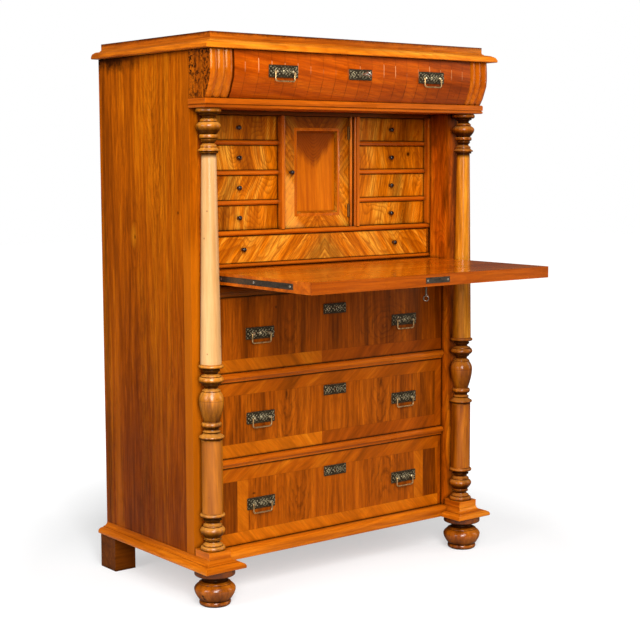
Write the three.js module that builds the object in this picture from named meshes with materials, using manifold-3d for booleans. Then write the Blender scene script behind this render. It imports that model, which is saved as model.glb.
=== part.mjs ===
// Fall-front secretary in walnut: a case on four feet with two turned columns, a cushion-fronted frieze
// drawer under the cornice, a writing flap in front of a gallery of small drawers, and three long drawers
// below. Sizes are in millimetres. X runs to the right, Y to the back and Z up; the fronts of the corner
// posts lie at zero in Y, and the floor lies at zero in Z.
import * as THREE from 'three';
import { mergeVertices } from 'three/addons/utils/BufferGeometryUtils.js';
import Module from 'manifold-3d';

const wasm = await Module();
wasm.setup();

// Heights of the case, from the floor up
const FOOT_HEIGHT = 92;
const BASE_THICK = 28;
const LOWER_DRAWER = 204;
const MIDDLE_DRAWER = 195;
const UPPER_DRAWER = 193;
const RAIL_HEIGHT = 23;
const UPPER_RAIL_HEIGHT = 36;
const UPPER_NOSE_HEIGHT = 29;
const FLOOR_THICK = 29;
const INTERIOR_HEIGHT = 399;
const SHELF_THICK = 23;
const FRIEZE_HEIGHT = 115;
const CORNICE_HEIGHT = 40;

// The case
const CASE_WIDTH = 910;
const CASE_DEPTH = 432;
const SIDE_THICK = 24;
const POST_WIDTH = 42;
const BACK_THICK = 8;
const BACK_LAP = 16;
const DRAWER_SETBACK = 8;
const RAIL_DEPTH = 44;
const DUST_BOARD = 12;

// Clearances: a glued joint, a running drawer, and the overlap that a cut or a joined piece gets
const FIT = 0.3;
const RUN = 1;
const OVER = 2;

// Mouldings: how far each stands out
const CORNICE_OUT = 31;
const CORNICE_SIDE = 22;
const CORNICE_FRONT = 14;
const SHELF_OUT = 3.5;
const BASE_OUT = 28;

// Frieze
const FRIEZE_SWELL = 97;
const FRIEZE_FOOT = 71;
const FRIEZE_BACK = 46;
const REED_COUNT = 3;
const REED_RISE = 4.5;
const GUIDE_DEPTH = 62;

// Columns and feet
const PLINTH_WIDTH = 64;
const PLINTH_HEIGHT = 18;
const COLUMN_RADIUS = 31.8;
const COLUMN_SETOUT = 35;
const FOOT_RADIUS = 53;
const FOOT_SETOUT = 42;
const REAR_FOOT_WIDTH = 62;
const REAR_FOOT_DEPTH = 76;
const REAR_FOOT_OUT = 20;

// Writing flap, its iron straps, its lock and its key
const FLAP_REACH = 391;
const FLAP_SETBACK = 6;
const STRAP_LENGTH = 328;
const STRAP_WIDTH = 14;
const STRAP_THICK = 3.4;
const STRAP_TAIL = 36;
const PIN_RADIUS = 3.5;
const PIN_LENGTH = 12;
const LOCK_WIDTH = 78;
const LOCK_HEIGHT = 14;
const LOCK_PLATE = 2;
const BOLT_WIDTH = 24;
const BOLT_THICK = 4.4;
const BOLT_LENGTH = 28;
const BOLT_THROW = 8;
const KEY_SETBACK = 43;
const KEY_SHAFT = 2.4;
const KEY_REACH = 27;
const KEY_DEPTH = 13;
const KEY_BIT = 7;
const KEY_BIT_HEIGHT = 6;
const KEY_BIT_THICK = 2;
const BOW_RADIUS = 6.4;
const BOW_TUBE = 1.7;

// Gallery behind the flap
const LEDGE_SETBACK = 62;
const SMALL_SETBACK = 82;
const GALLERY_BASE = 12.6;
const WIDE_DRAWER = 70;
const GALLERY_SHELF = 13;
const GALLERY_TOP = 10.4;
const GALLERY_SIDE = 6.7;
const DIVIDER_THICK = 8;
const DOOR_OPENING = 219;
const DIVIDER_FACE = 20.9;
const BEAD_RADIUS = 4;
const BEAD_COUNT = 2;
const SMALL_ROWS = 4;
const SMALL_RAIL = 12.3;
const SMALL_RAIL_OUT = 6;
const SMALL_BACK_ROOM = 22;
const WIDE_BACK_ROOM = 18;
const WIDE_RECESS = 4;

// Cupboard door
const DOOR_THICK = 16;
const DOOR_GAP = 0.8;
const DOOR_RAIL = 38;
const DOOR_STILE = 41;
const PANEL_RECESS = 6;
const PANEL_BEVEL = 5;
const HINGE_RADIUS = 2.4;
const HINGE_LENGTH = 34;
const HINGE_LEAF = 12;
const HINGE_INSET = 42;

// Drawer boxes
const FRONT_THICK = 20;
const LONG_WALL = 12;
const LONG_FLOOR = 8;
const LONG_BACK_ROOM = 24;
const FRIEZE_BACK_ROOM = 52;
const SMALL_FRONT = 13;
const SMALL_WALL = 6;
const SMALL_FLOOR = 4;
const SIDE_DROP = 10;
const SMALL_SIDE_DROP = 4;

// Handles, escutcheons and knobs
const PLATE_WIDTH = 88;
const PLATE_HEIGHT = 30;
const PLATE_THICK = 2.5;
const PLATE_BEVEL = 1.6;
const BOSS_RADIUS = 6;
const BOSS_RISE = 1.2;
const HANDLE_INSET = 145;
const BAIL_HALF = 29;
const BAIL_DROP = 23;
const BAIL_CORNER = 6;
const BAIL_RADIUS = 1.8;
const BAIL_STANDOFF = 5.5;
const BAIL_LIFT = 1;
const EAR_WIDTH = 5;
const EAR_SPREAD = 48;
const EAR_RADIUS = 4;
const EAR_NECK = 2.6;
const ESCUTCHEON_WIDTH = 74;
const ESCUTCHEON_HEIGHT = 26;
const ESCUTCHEON_THICK = 2;
const ESCUTCHEON_DROP = 50;
const KNOB_RADIUS = 5.8;
const KNOB_LENGTH = 13;
const KNOB_INSET = 127;

// Facets round a turned piece, a rod, a pin, a knob and an ear, and steps along an arc and a reed. A bead or
// a cove shorter than the last length gets one step fewer.
const TURNED_SIDES = 12;
const ROD_SIDES = 6;
const PIN_SIDES = 12;
const KNOB_SIDES = 8;
const EAR_SIDES = 8;
const ARC_STEPS = 3;
const REED_STEPS = 6;
const FINE_BEAD = 12;

// Levels and planes that several pieces share
const baseTop = FOOT_HEIGHT + BASE_THICK;
const lowerTop = baseTop + LOWER_DRAWER;
const lowerRailTop = lowerTop + RAIL_HEIGHT;
const middleTop = lowerRailTop + MIDDLE_DRAWER;
const middleRailTop = middleTop + RAIL_HEIGHT;
const upperTop = middleRailTop + UPPER_DRAWER;
const floorBottom = upperTop + UPPER_RAIL_HEIGHT;
const floorTop = floorBottom + FLOOR_THICK;
const shelfBottom = floorTop + INTERIOR_HEIGHT;
const shelfTop = shelfBottom + SHELF_THICK;
const corniceBottom = shelfTop + FRIEZE_HEIGHT;
const caseHalf = CASE_WIDTH / 2;
const innerHalf = caseHalf - SIDE_THICK;
const openHalf = innerHalf - POST_WIDTH;
const drawerHalf = openHalf - RUN;
const backPlane = CASE_DEPTH - BACK_THICK;
const postDepth = LEDGE_SETBACK - FIT;
const columnX = caseHalf - PLINTH_WIDTH / 2;
const pivotY = FLAP_SETBACK + FLOOR_THICK / 2;
const pivotZ = floorBottom + FLOOR_THICK / 2;
const wideBottom = floorTop + GALLERY_BASE;
const wideTop = wideBottom + WIDE_DRAWER;
const smallBottom = wideTop + GALLERY_SHELF;
const smallTop = shelfBottom - GALLERY_TOP;
const galleryHalf = openHalf - FIT;
const galleryInner = galleryHalf - GALLERY_SIDE;
const doorwayHalf = DOOR_OPENING / 2;
const dividerOuter = doorwayHalf + DIVIDER_FACE;
const dividerInner = dividerOuter - DIVIDER_THICK;

// Outlines as shares of a moulding's projection and of its height, from the bottom up. The word says how an
// arc reaches the point: it rises last when it leaves sideways, and rises first when it leaves upwards. A
// point without a word is reached by a straight line.
const corniceShares = [
  [0.93, 0], [1, 0.05, 'rising last'], [1, 0.14], [0.15, 0.5, 'rising first'], [0.15, 0.54],
  [0, 0.64, 'rising last'], [0, 1],
];
const shelfShares = [
  [0.2, 0], [1, 0.14, 'rising last'], [0.3, 0.3, 'rising first'], [0.3, 0.36], [1, 0.4], [1, 0.84],
  [0, 1, 'rising first'],
];
const baseShares = [
  [0.86, 0], [1, 0.1, 'rising last'], [1, 0.24], [0.42, 0.56, 'rising first'], [0.42, 0.62],
  [0, 1, 'rising last'],
];
const skirtShares = [
  [0.88, 0], [1, 0.16, 'rising last'], [1, 0.6], [0.5, 1, 'rising first'],
];
const railShares = [
  [0.1, 0], [0.62, 0.3, 'rising first'], [0.62, 0.38], [1, 0.44], [1, 0.6], [0, 1, 'rising first'],
];
const friezeShares = [
  [0, 0], [0.42, 0.15], [0.94, 0.44], [1, 0.6], [1, 0.74], [0.93, 1],
];

const friezePlateShare = 0.58;

// Turned work from the bottom up, as a turner reads it: the form, its share of the height in parts, and its
// radius as a share of the greatest one. A swell also has the radii where it starts and ends.
const columnShares = [
  ['bead', 14, 1], ['bead', 8, 0.82], ['cove', 13, 0.66], ['bead', 36, 0.99, 0.72], ['cove', 11, 0.74],
  ['bead', 9, 0.97], ['shaft', 186, 0.83, 0.82], ['bead', 14, 0.98], ['cove', 19, 0.58], ['bead', 9, 0.77],
  ['swell', 80, 0.96, 0.69, 0.75], ['bead', 7, 0.8], ['cove', 13, 0.61], ['bead', 14, 0.97],
  ['shaft', 7, 0.76, 0.74], ['bead', 11, 0.82, 0.74], ['bead', 9, 0.94, 0.8], ['shaft', 511, 0.82, 0.57],
  ['bead', 6, 0.69], ['bead', 12, 0.88, 0.66], ['bead', 5, 0.68], ['cove', 10, 0.45], ['bead', 8, 0.72],
  ['bead', 8, 0.78], ['swell', 32, 0.98, 0.62, 0.62], ['bead', 6, 0.68], ['cove', 6, 0.49],
  ['bead', 7, 0.73, 0.6], ['bead', 11, 1, 0.8],
];
const footShares = [
  ['shaft', 4, 0.6, 0.64], ['bead', 8, 0.8, 0.64], ['shaft', 2, 0.74, 0.74], ['swell', 44, 1, 0.78, 0.62],
  ['cove', 14, 0.52], ['swell', 12, 0.94, 0.62, 0.94], ['shaft', 8, 0.94, 0.94],
];
const knobShares = [
  ['shaft', 5, 0.5, 0.46], ['cove', 2, 0.44], ['swell', 8, 1, 0.56, 0.3],
];
const swellCrestShare = 0.62;
const swellSteps = 5;

// Helpers that make and join solids

function solidOf(geometry) {
  const bare = geometry.clone();
  bare.deleteAttribute('normal');
  bare.deleteAttribute('uv');
  const welded = mergeVertices(bare);
  const at = welded.getAttribute('position');
  const corner = [0, 1, 2].map(() => new THREE.Vector3());
  const faces = [];
  let volume = 0;
  for (let i = 0; i < welded.index.count; i += 3) {
    const [a, b, c] = [0, 1, 2].map((k) => welded.index.getX(i + k));
    if (a === b || b === c || a === c) continue;
    faces.push([a, b, c]);
    [a, b, c].forEach((v, k) => corner[k].fromBufferAttribute(at, v));
    volume += corner[0].dot(corner[1].cross(corner[2]));
  }
  const outward = faces.map(([a, b, c]) => (volume < 0 ? [a, c, b] : [a, b, c]));
  return new wasm.Manifold(new wasm.Mesh({
    numProp: 3,
    vertProperties: new Float32Array(at.array),
    triVerts: new Uint32Array(outward.flat()),
  }));
}

function geometryOf(solid) {
  const { vertProperties, triVerts } = solid.getMesh();
  const geometry = new THREE.BufferGeometry();
  geometry.setAttribute('position', new THREE.BufferAttribute(new Float32Array(vertProperties), 3));
  geometry.setIndex(new THREE.BufferAttribute(new Uint32Array(triVerts), 1));
  geometry.computeVertexNormals();
  return geometry;
}

function block(x0, x1, y0, y1, z0, z1) {
  const geometry = new THREE.BoxGeometry(Math.abs(x1 - x0), Math.abs(y1 - y0), Math.abs(z1 - z0));
  geometry.translate((x0 + x1) / 2, (y0 + y1) / 2, (z0 + z1) / 2);
  return solidOf(geometry);
}

function prism(outline, depth, placement) {
  const shape = new THREE.Shape(outline.map(([a, b]) => new THREE.Vector2(a, b)));
  const geometry = new THREE.ExtrudeGeometry(shape, { depth, bevelEnabled: false });
  geometry.applyMatrix4(placement);
  return solidOf(geometry);
}

const axisX = new THREE.Vector3(1, 0, 0);
const axisY = new THREE.Vector3(0, 1, 0);
const axisZ = new THREE.Vector3(0, 0, 1);

// A prism whose outline lies in Y and Z, and runs along X
function prismX(outline, x0, x1) {
  return prism(outline, x1 - x0, new THREE.Matrix4().makeBasis(axisY, axisZ, axisX).setPosition(x0, 0, 0));
}

// A prism whose outline lies in X and Z, and runs along Y
function prismY(outline, y0, y1) {
  return prism(outline, y1 - y0, new THREE.Matrix4().makeBasis(axisX, axisZ, axisY).setPosition(0, y0, 0));
}

// Follows an outline written in shares, with its arcs, and gives points of real size
function trace(shares, width, height) {
  const points = [];
  let [u0, v0] = shares[0];
  for (const [u1, v1, way] of shares) {
    const steps = way ? ARC_STEPS : 1;
    for (let i = 1; i <= steps; i += 1) {
      const turn = (Math.PI / 2) * (i / steps);
      const soft = 1 - Math.cos(turn);
      const [acrossShare, upShare] = {
        'rising first': [soft, Math.sin(turn)],
        'rising last': [Math.sin(turn), soft],
      }[way] ?? [1, 1];
      points.push([(u0 + (u1 - u0) * acrossShare) * width, (v0 + (v1 - v0) * upShare) * height]);
    }
    [u0, v0] = [u1, v1];
  }
  return points;
}

// A board with a moulding round its front and both ends, mitred at the corners. The board without its
// moulding fills x0 to x1 and y0 to y1. Its front may have an outline of its own.
function mouldedBoard(x0, x1, y0, y1, z0, height, shares, out, frontShares = shares) {
  const edge = trace(shares, out, height);
  const nose = trace(frontShares, out, height);
  const front = [[y1, z0], ...nose.map(([u, v]) => [y0 - u, z0 + v]), [y1, z0 + height]];
  const right = edge.map(([u, v]) => [x1 + u, z0 + v]);
  const left = edge.map(([u, v]) => [x0 - u, z0 + v]).reverse();
  const along = prismX(front, x0 - out - OVER, x1 + out + OVER);
  return along.intersect(prismY([...right, ...left], y0 - out - OVER, y1 + OVER));
}

// Radius and height of every ring of a turned piece
function turning(shares, height, radius) {
  const parts = shares.reduce((sum, row) => sum + row[1], 0);
  const rings = [];
  let level = 0;
  for (const [form, part, share, startShare, endShare] of shares) {
    const length = (part / parts) * height;
    const crest = share * radius;
    const start = startShare === undefined ? crest - length / 2 : startShare * radius;
    const end = endShare === undefined ? start : endShare * radius;
    if (form === 'shaft') {
      rings.push([crest, level], [start, level + length]);
    } else if (form === 'swell') {
      for (let i = 0; i <= swellSteps; i += 1) {
        const t = i / swellSteps;
        const rising = t < swellCrestShare;
        const way = rising ? t / swellCrestShare : (1 - t) / (1 - swellCrestShare);
        const edge = rising ? start : end;
        const bulge = Math.sin((Math.PI / 2) * way);
        rings.push([edge + (crest - edge) * bulge, level + t * length]);
      }
    } else {
      const steps = length > FINE_BEAD ? ARC_STEPS : ARC_STEPS - 1;
      for (let i = 0; i <= steps; i += 1) {
        const bulge = Math.sin(Math.PI * (i / steps));
        const rim = form === 'cove' ? crest + length / 2 : start;
        const along = form === 'cove' ? i / steps : (1 - Math.cos(Math.PI * (i / steps))) / 2;
        rings.push([rim + (crest - rim) * bulge, level + along * length]);
      }
    }
    level += length;
  }
  return rings;
}

// A solid of revolution about Z that stands on the given point
function turned(shares, height, radius, sides, x, y, z) {
  const rings = turning(shares, height, radius);
  const profile = [[0, 0], ...rings, [0, height]].map(([r, level]) => new THREE.Vector2(r, level));
  const clean = profile.filter((p, i) => i === 0 || p.distanceTo(profile[i - 1]) > FIT / 2);
  clean[clean.length - 1].set(0, height);
  const geometry = new THREE.LatheGeometry(clean, sides);
  geometry.rotateX(Math.PI / 2);
  geometry.translate(x, y, z);
  return solidOf(geometry);
}

// A solid through closed rings that all have the same number of points. The ends are flat, and the first
// point of a ring sees all its other points.
function loft(rings) {
  const count = rings[0].length;
  const last = (rings.length - 1) * count;
  const index = [];
  for (let start = 0; start < last; start += count) {
    for (let i = 0; i < count; i += 1) {
      const [a, b] = [start + i, start + ((i + 1) % count)];
      index.push(a, b, b + count, a, b + count, a + count);
    }
  }
  for (let i = 1; i + 1 < count; i += 1) index.push(0, i + 1, i, last, last + i, last + i + 1);
  const geometry = new THREE.BufferGeometry();
  geometry.setAttribute('position', new THREE.Float32BufferAttribute(rings.flat(2), 3));
  geometry.setIndex(index);
  return solidOf(geometry);
}

// A round rod along a bent path in X and Z, mitred at each bend
function rod(path, radius, y) {
  const points = path.map(([x, z]) => new THREE.Vector2(x, z));
  return loft(points.map((p, i) => {
    const into = p.clone().sub(points[Math.max(i - 1, 0)]).normalize();
    const out = points[Math.min(i + 1, points.length - 1)].clone().sub(p).normalize();
    const along = into.clone().add(out).normalize();
    const stretch = 1 / along.dot(into.length() > 0 ? into : out);
    return Array.from({ length: ROD_SIDES }, (_, k) => {
      const turn = (2 * Math.PI * (k + 0.5)) / ROD_SIDES;
      const side = Math.cos(turn) * radius * stretch;
      return [p.x - along.y * side, y + Math.sin(turn) * radius, p.y + along.x * side];
    });
  }));
}

// The corners of a rectangle that lies in X and Z
function rectangle(x, half, y, z0, z1) {
  return [[x - half, y, z0], [x + half, y, z0], [x + half, y, z1], [x - half, y, z1]];
}

// A short round bar whose axis runs along X, Y or Z
function bar(axis, radius, from, to, a, b, sides = PIN_SIDES) {
  const geometry = new THREE.CylinderGeometry(radius, radius, to - from, sides);
  const middle = (from + to) / 2;
  if (axis === 'x') geometry.rotateZ(Math.PI / 2).translate(middle, a, b);
  if (axis === 'y') geometry.translate(a, middle, b);
  if (axis === 'z') geometry.rotateX(Math.PI / 2).translate(a, b, middle);
  return solidOf(geometry);
}

// The lower and upper end of a stretch on the left (-1) or the right (1) of the case
function span(side, inner, outer) {
  return side > 0 ? [inner, outer] : [-outer, -inner];
}

// Case boards

function makeSide(side) {
  const [low, high] = [baseTop + FIT, corniceBottom - FIT];
  const panel = block(...span(side, innerHalf, caseHalf), 0, CASE_DEPTH, low, high);
  const rebate = block(
    ...span(side, innerHalf - OVER, innerHalf + BACK_LAP), backPlane, CASE_DEPTH + OVER,
    baseTop - OVER, corniceBottom + OVER,
  );
  const post = block(...span(side, openHalf, innerHalf + OVER), 0, postDepth, low, shelfBottom - FIT);
  const hole = bar(
    'x', PIN_RADIUS + FIT, ...span(side, openHalf - OVER, openHalf + PIN_LENGTH), pivotY, pivotZ,
  );
  return panel.subtract(rebate).add(post).subtract(hole);
}

function makeBack() {
  const half = innerHalf + BACK_LAP - FIT;
  return block(-half, half, backPlane + FIT, CASE_DEPTH, baseTop + FIT, corniceBottom - FIT);
}

function makeCornice() {
  const half = caseHalf + CORNICE_SIDE - CORNICE_OUT;
  const front = -(FRIEZE_SWELL + CORNICE_FRONT - CORNICE_OUT);
  return mouldedBoard(
    -half, half, front, CASE_DEPTH, corniceBottom, CORNICE_HEIGHT, corniceShares, CORNICE_OUT,
  );
}

// The shelf under the frieze, with a mortise for the bolt of the closed flap
function makeShelf() {
  const nose = mouldedBoard(
    -caseHalf, caseHalf, -FRIEZE_FOOT, -FIT, shelfBottom, SHELF_THICK, shelfShares, SHELF_OUT,
  );
  const half = innerHalf - FIT;
  const boltHalf = BOLT_WIDTH / 2 + FIT;
  const mortise = block(
    -boltHalf, boltHalf, pivotY - BOLT_THICK / 2 - FIT, pivotY + BOLT_THICK / 2 + FIT,
    shelfBottom - OVER, pivotZ + FLAP_REACH + pivotY + BOLT_THROW + RUN,
  );
  return nose.add(block(-half, half, -OVER, backPlane, shelfBottom, shelfTop)).subtract(mortise);
}

// The base breaks forward under the columns. Its sides and blocks have the full moulding, and the stretch
// between the blocks a plain rounded edge.
function makeBase() {
  const middle = mouldedBoard(
    -caseHalf, caseHalf, DRAWER_SETBACK, CASE_DEPTH, FOOT_HEIGHT, BASE_THICK, baseShares, BASE_OUT,
    skirtShares,
  );
  const blockFront = -COLUMN_SETOUT - PLINTH_WIDTH / 2;
  return [-1, 1].reduce((solid, side) => solid.add(mouldedBoard(
    ...span(side, caseHalf - PLINTH_WIDTH, caseHalf), blockFront, DRAWER_SETBACK + BASE_OUT,
    FOOT_HEIGHT, BASE_THICK, baseShares, BASE_OUT,
  )), middle);
}

// A rail between two drawers: a moulded nose, and a thinner dust board behind it that carries the upper one
function makeRail(top) {
  const nose = trace(railShares, DRAWER_SETBACK, RAIL_HEIGHT);
  const bottom = top - RAIL_HEIGHT;
  const outline = [
    [RAIL_DEPTH, bottom], ...nose.map(([u, v]) => [DRAWER_SETBACK - u, bottom + v]),
    [LEDGE_SETBACK + OVER, top], [LEDGE_SETBACK + OVER, top - DUST_BOARD], [RAIL_DEPTH, top - DUST_BOARD],
  ];
  const half = innerHalf - FIT;
  const board = block(-half, half, LEDGE_SETBACK, backPlane, top - DUST_BOARD, top);
  return prismX(outline, -openHalf + FIT, openHalf - FIT).add(board);
}

// The pocket at the end of the writing floor: the tail of a flap strap swings in it, and its ceiling behind
// the pivot stops the open flap
function strapPocket(side) {
  const [x0, x1] = span(side, openHalf - RUN - STRAP_THICK - FIT, openHalf + OVER);
  const reach = STRAP_WIDTH / 2 + FIT;
  const slot = block(
    x0, x1, FLAP_SETBACK - OVER, pivotY + reach, floorBottom - OVER, floorTop + OVER,
  );
  return slot.add(block(
    x0, x1, pivotY, pivotY + STRAP_TAIL + RUN, floorBottom - OVER, pivotZ + reach,
  ));
}

// The rail under the writing floor, with slots for the tails of the straps when the flap is closed
function makeUpperRail() {
  const nose = trace(railShares, DRAWER_SETBACK, UPPER_NOSE_HEIGHT);
  const outline = [
    [RAIL_DEPTH, upperTop], ...nose.map(([u, v]) => [DRAWER_SETBACK - u, upperTop + v]),
    [DRAWER_SETBACK, floorBottom - FIT], [RAIL_DEPTH, floorBottom - FIT],
  ];
  const rail = prismX(outline, -openHalf + FIT, openHalf - FIT);
  return [-1, 1].reduce((solid, side) => solid.subtract(block(
    ...span(side, openHalf - RUN - STRAP_THICK - FIT, openHalf + OVER),
    pivotY - STRAP_WIDTH / 2 - OVER, RAIL_DEPTH + OVER, pivotZ - STRAP_TAIL - OVER, floorBottom + OVER,
  )), rail);
}

// The upper front edge of the writing floor is rounded about the pivot of the flap
function makeFloor() {
  const round = Array.from({ length: 2 * ARC_STEPS + 1 }, (_, i) => {
    const turn = (Math.PI / 2) * (i / (2 * ARC_STEPS));
    const radius = FLOOR_THICK / 2;
    return [pivotY - radius * Math.cos(turn), pivotZ + radius * Math.sin(turn)];
  });
  const back = LEDGE_SETBACK + OVER;
  const outline = [[back, floorBottom], [FLAP_SETBACK, floorBottom], ...round, [back, floorTop]];
  const front = prismX(outline, -openHalf + FIT, openHalf - FIT);
  const half = innerHalf - FIT;
  const board = front.add(block(-half, half, LEDGE_SETBACK, backPlane, floorBottom, floorTop));
  return [-1, 1].reduce((solid, side) => solid.subtract(strapPocket(side)), board);
}

// Frieze: a cushion-shaped front between two blocks of three upright reeds

const friezeDepth = FRIEZE_SWELL - FRIEZE_FOOT;

function friezeCurve() {
  return trace(friezeShares, friezeDepth, FRIEZE_HEIGHT).map(([u, v]) => [FRIEZE_FOOT + u, v]);
}

function makeFriezeBlock(side) {
  const [x0, x1] = span(side, openHalf + FIT, caseHalf);
  const steps = REED_COUNT * REED_STEPS;
  const top = FRIEZE_HEIGHT - FIT;
  const rings = friezeCurve().map(([reach, level]) => {
    const z = shelfTop + Math.min(Math.max(level, FIT), top);
    const front = Array.from({ length: steps + 1 }, (_, i) => {
      const rise = Math.abs(Math.sin((Math.PI * i) / REED_STEPS));
      return [x0 + ((x1 - x0) * i) / steps, -(reach - REED_RISE + REED_RISE * rise), z];
    });
    return [[x0, -FIT, z], ...front, [x1, -FIT, z]];
  });
  const guide = block(
    ...span(side, openHalf + FIT, innerHalf - FIT), -OVER, GUIDE_DEPTH, shelfTop + FIT, shelfTop + top,
  );
  return loft(rings).add(guide);
}

// Drawers: a front of its own shape, and a box behind it that is open at the top

function drawerBox(x0, x1, y0, y1, z0, z1, wall, floor) {
  const hollow = block(x0 + wall, x1 - wall, y0, y1 - wall, z0 + floor, z1 + OVER);
  return block(x0, x1, y0 - wall, y1, z0, z1).subtract(hollow);
}

// A key hole in a face that looks along -Y: a round hole with a slot below it, and room for the bit to turn
function keyhole(x, face, z, withRoom) {
  const hole = bar('y', KEY_SHAFT + FIT, face - OVER, face + KEY_DEPTH + FIT, x, z);
  const slot = block(
    x - KEY_BIT_THICK / 2 - FIT, x + KEY_BIT_THICK / 2 + FIT, face - OVER, face + KEY_DEPTH + FIT,
    z - KEY_BIT - FIT, z,
  );
  const cut = hole.add(slot);
  if (!withRoom) return cut;
  const inner = face + KEY_DEPTH + FIT;
  return cut.add(bar('y', KEY_BIT + RUN, inner - KEY_BIT_HEIGHT - RUN, inner, x, z));
}

// A plate whose rim is bevelled down to the face that it lies on
function bevelled(x, half, back, front, z0, z1) {
  const near = rectangle(x, half - PLATE_BEVEL, front, z0 + PLATE_BEVEL, z1 - PLATE_BEVEL);
  return loft([near, rectangle(x, half, back, z0, z1)]);
}

function escutcheon(face, z) {
  const half = ESCUTCHEON_HEIGHT / 2;
  return bevelled(0, ESCUTCHEON_WIDTH / 2, face + FIT, face - ESCUTCHEON_THICK, z - half, z + half);
}

function makeFriezeDrawer() {
  const curve = friezeCurve();
  const [bottom, top] = [shelfTop + FIT, corniceBottom - RUN];
  const outline = curve.map(([reach, level]) => [
    -reach, THREE.MathUtils.clamp(shelfTop + level, bottom, top),
  ]);
  const front = prismX([...outline, [-FRIEZE_BACK, top], [-FRIEZE_BACK, bottom]], -drawerHalf, drawerHalf);
  const box = drawerBox(
    -drawerHalf, drawerHalf, -FRIEZE_BACK, backPlane - FRIEZE_BACK_ROOM, bottom, top - SIDE_DROP,
    LONG_WALL, LONG_FLOOR,
  );
  const middle = shelfTop + FRIEZE_HEIGHT * friezePlateShare;
  const lockFace = -FRIEZE_SWELL - ESCUTCHEON_THICK / 2;
  const [w, h] = [ESCUTCHEON_WIDTH / 2, ESCUTCHEON_HEIGHT / 2];
  const plate = block(-w, w, lockFace, -FRIEZE_FOOT, middle - h, middle + h);
  return front.add(box).add(plate).subtract(keyhole(0, lockFace, middle, true));
}

function makeLongDrawer(bottom, top) {
  const face = DRAWER_SETBACK;
  const [z0, z1] = [bottom + FIT, top - RUN];
  const front = block(-drawerHalf, drawerHalf, face, face + FRONT_THICK, z0, z1);
  const box = drawerBox(
    -drawerHalf, drawerHalf, face + FRONT_THICK, backPlane - LONG_BACK_ROOM, z0, z1 - SIDE_DROP,
    LONG_WALL, LONG_FLOOR,
  );
  const lockZ = top - ESCUTCHEON_DROP;
  const solid = front.add(box).add(escutcheon(face, lockZ));
  return solid.subtract(keyhole(0, face - ESCUTCHEON_THICK, lockZ, false));
}

function knob(x, face, z) {
  const geometry = geometryOf(turned(knobShares, KNOB_LENGTH + OVER, KNOB_RADIUS, KNOB_SIDES, 0, 0, -OVER));
  geometry.rotateX(Math.PI / 2).translate(x, face, z);
  return solidOf(geometry);
}

function makeSmallDrawer(x0, x1, z0, z1) {
  const face = SMALL_SETBACK;
  const front = block(x0, x1, face, face + SMALL_FRONT, z0, z1);
  const box = drawerBox(
    x0, x1, face + SMALL_FRONT, backPlane - SMALL_BACK_ROOM, z0, z1 - SMALL_SIDE_DROP,
    SMALL_WALL, SMALL_FLOOR,
  );
  return front.add(box).add(knob((x0 + x1) / 2, face, (z0 + z1) / 2));
}

function makeWideDrawer() {
  const face = LEDGE_SETBACK + WIDE_RECESS;
  const half = galleryInner - RUN;
  const [z0, z1] = [wideBottom + FIT, wideTop - RUN];
  const front = block(-half, half, face, face + SMALL_FRONT, z0, z1);
  const box = drawerBox(
    -half, half, face + SMALL_FRONT, backPlane - WIDE_BACK_ROOM, z0, z1 - SMALL_SIDE_DROP,
    SMALL_WALL, SMALL_FLOOR,
  );
  const knobs = [-1, 1].map((side) => knob(side * (galleryInner - KNOB_INSET), face, (z0 + z1) / 2));
  return knobs.reduce((solid, pull) => solid.add(pull), front.add(box));
}

// Gallery

// A board with a half-round front edge, whose outline lies in Y and Z
function nosedBoard(x0, x1, front, back, z0, z1) {
  const half = (z1 - z0) / 2;
  const nose = Array.from({ length: 2 * ARC_STEPS + 1 }, (_, i) => {
    const turn = (Math.PI * i) / (2 * ARC_STEPS);
    return [front + half - half * Math.sin(turn), z0 + half - half * Math.cos(turn)];
  });
  return prismX([...nose, [back, z1], [back, z0]], x0, x1);
}

function makeGalleryBase() {
  const board = nosedBoard(
    -galleryHalf, galleryHalf, LEDGE_SETBACK, backPlane, floorTop + FIT, wideBottom,
  );
  return [-1, 1].reduce((solid, side) => solid.add(block(
    ...span(side, galleryInner, galleryHalf), LEDGE_SETBACK + GALLERY_BASE / 2, backPlane,
    wideBottom - OVER, wideTop - FIT,
  )), board);
}

function makeGalleryShelf() {
  return nosedBoard(-galleryHalf, galleryHalf, LEDGE_SETBACK, backPlane, wideTop, smallBottom - FIT);
}

function makeGalleryTop() {
  return block(-galleryHalf, galleryHalf, LEDGE_SETBACK, backPlane, smallTop + FIT, shelfBottom - FIT);
}

const rowPitch = (smallTop - smallBottom + SMALL_RAIL) / SMALL_ROWS;

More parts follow.
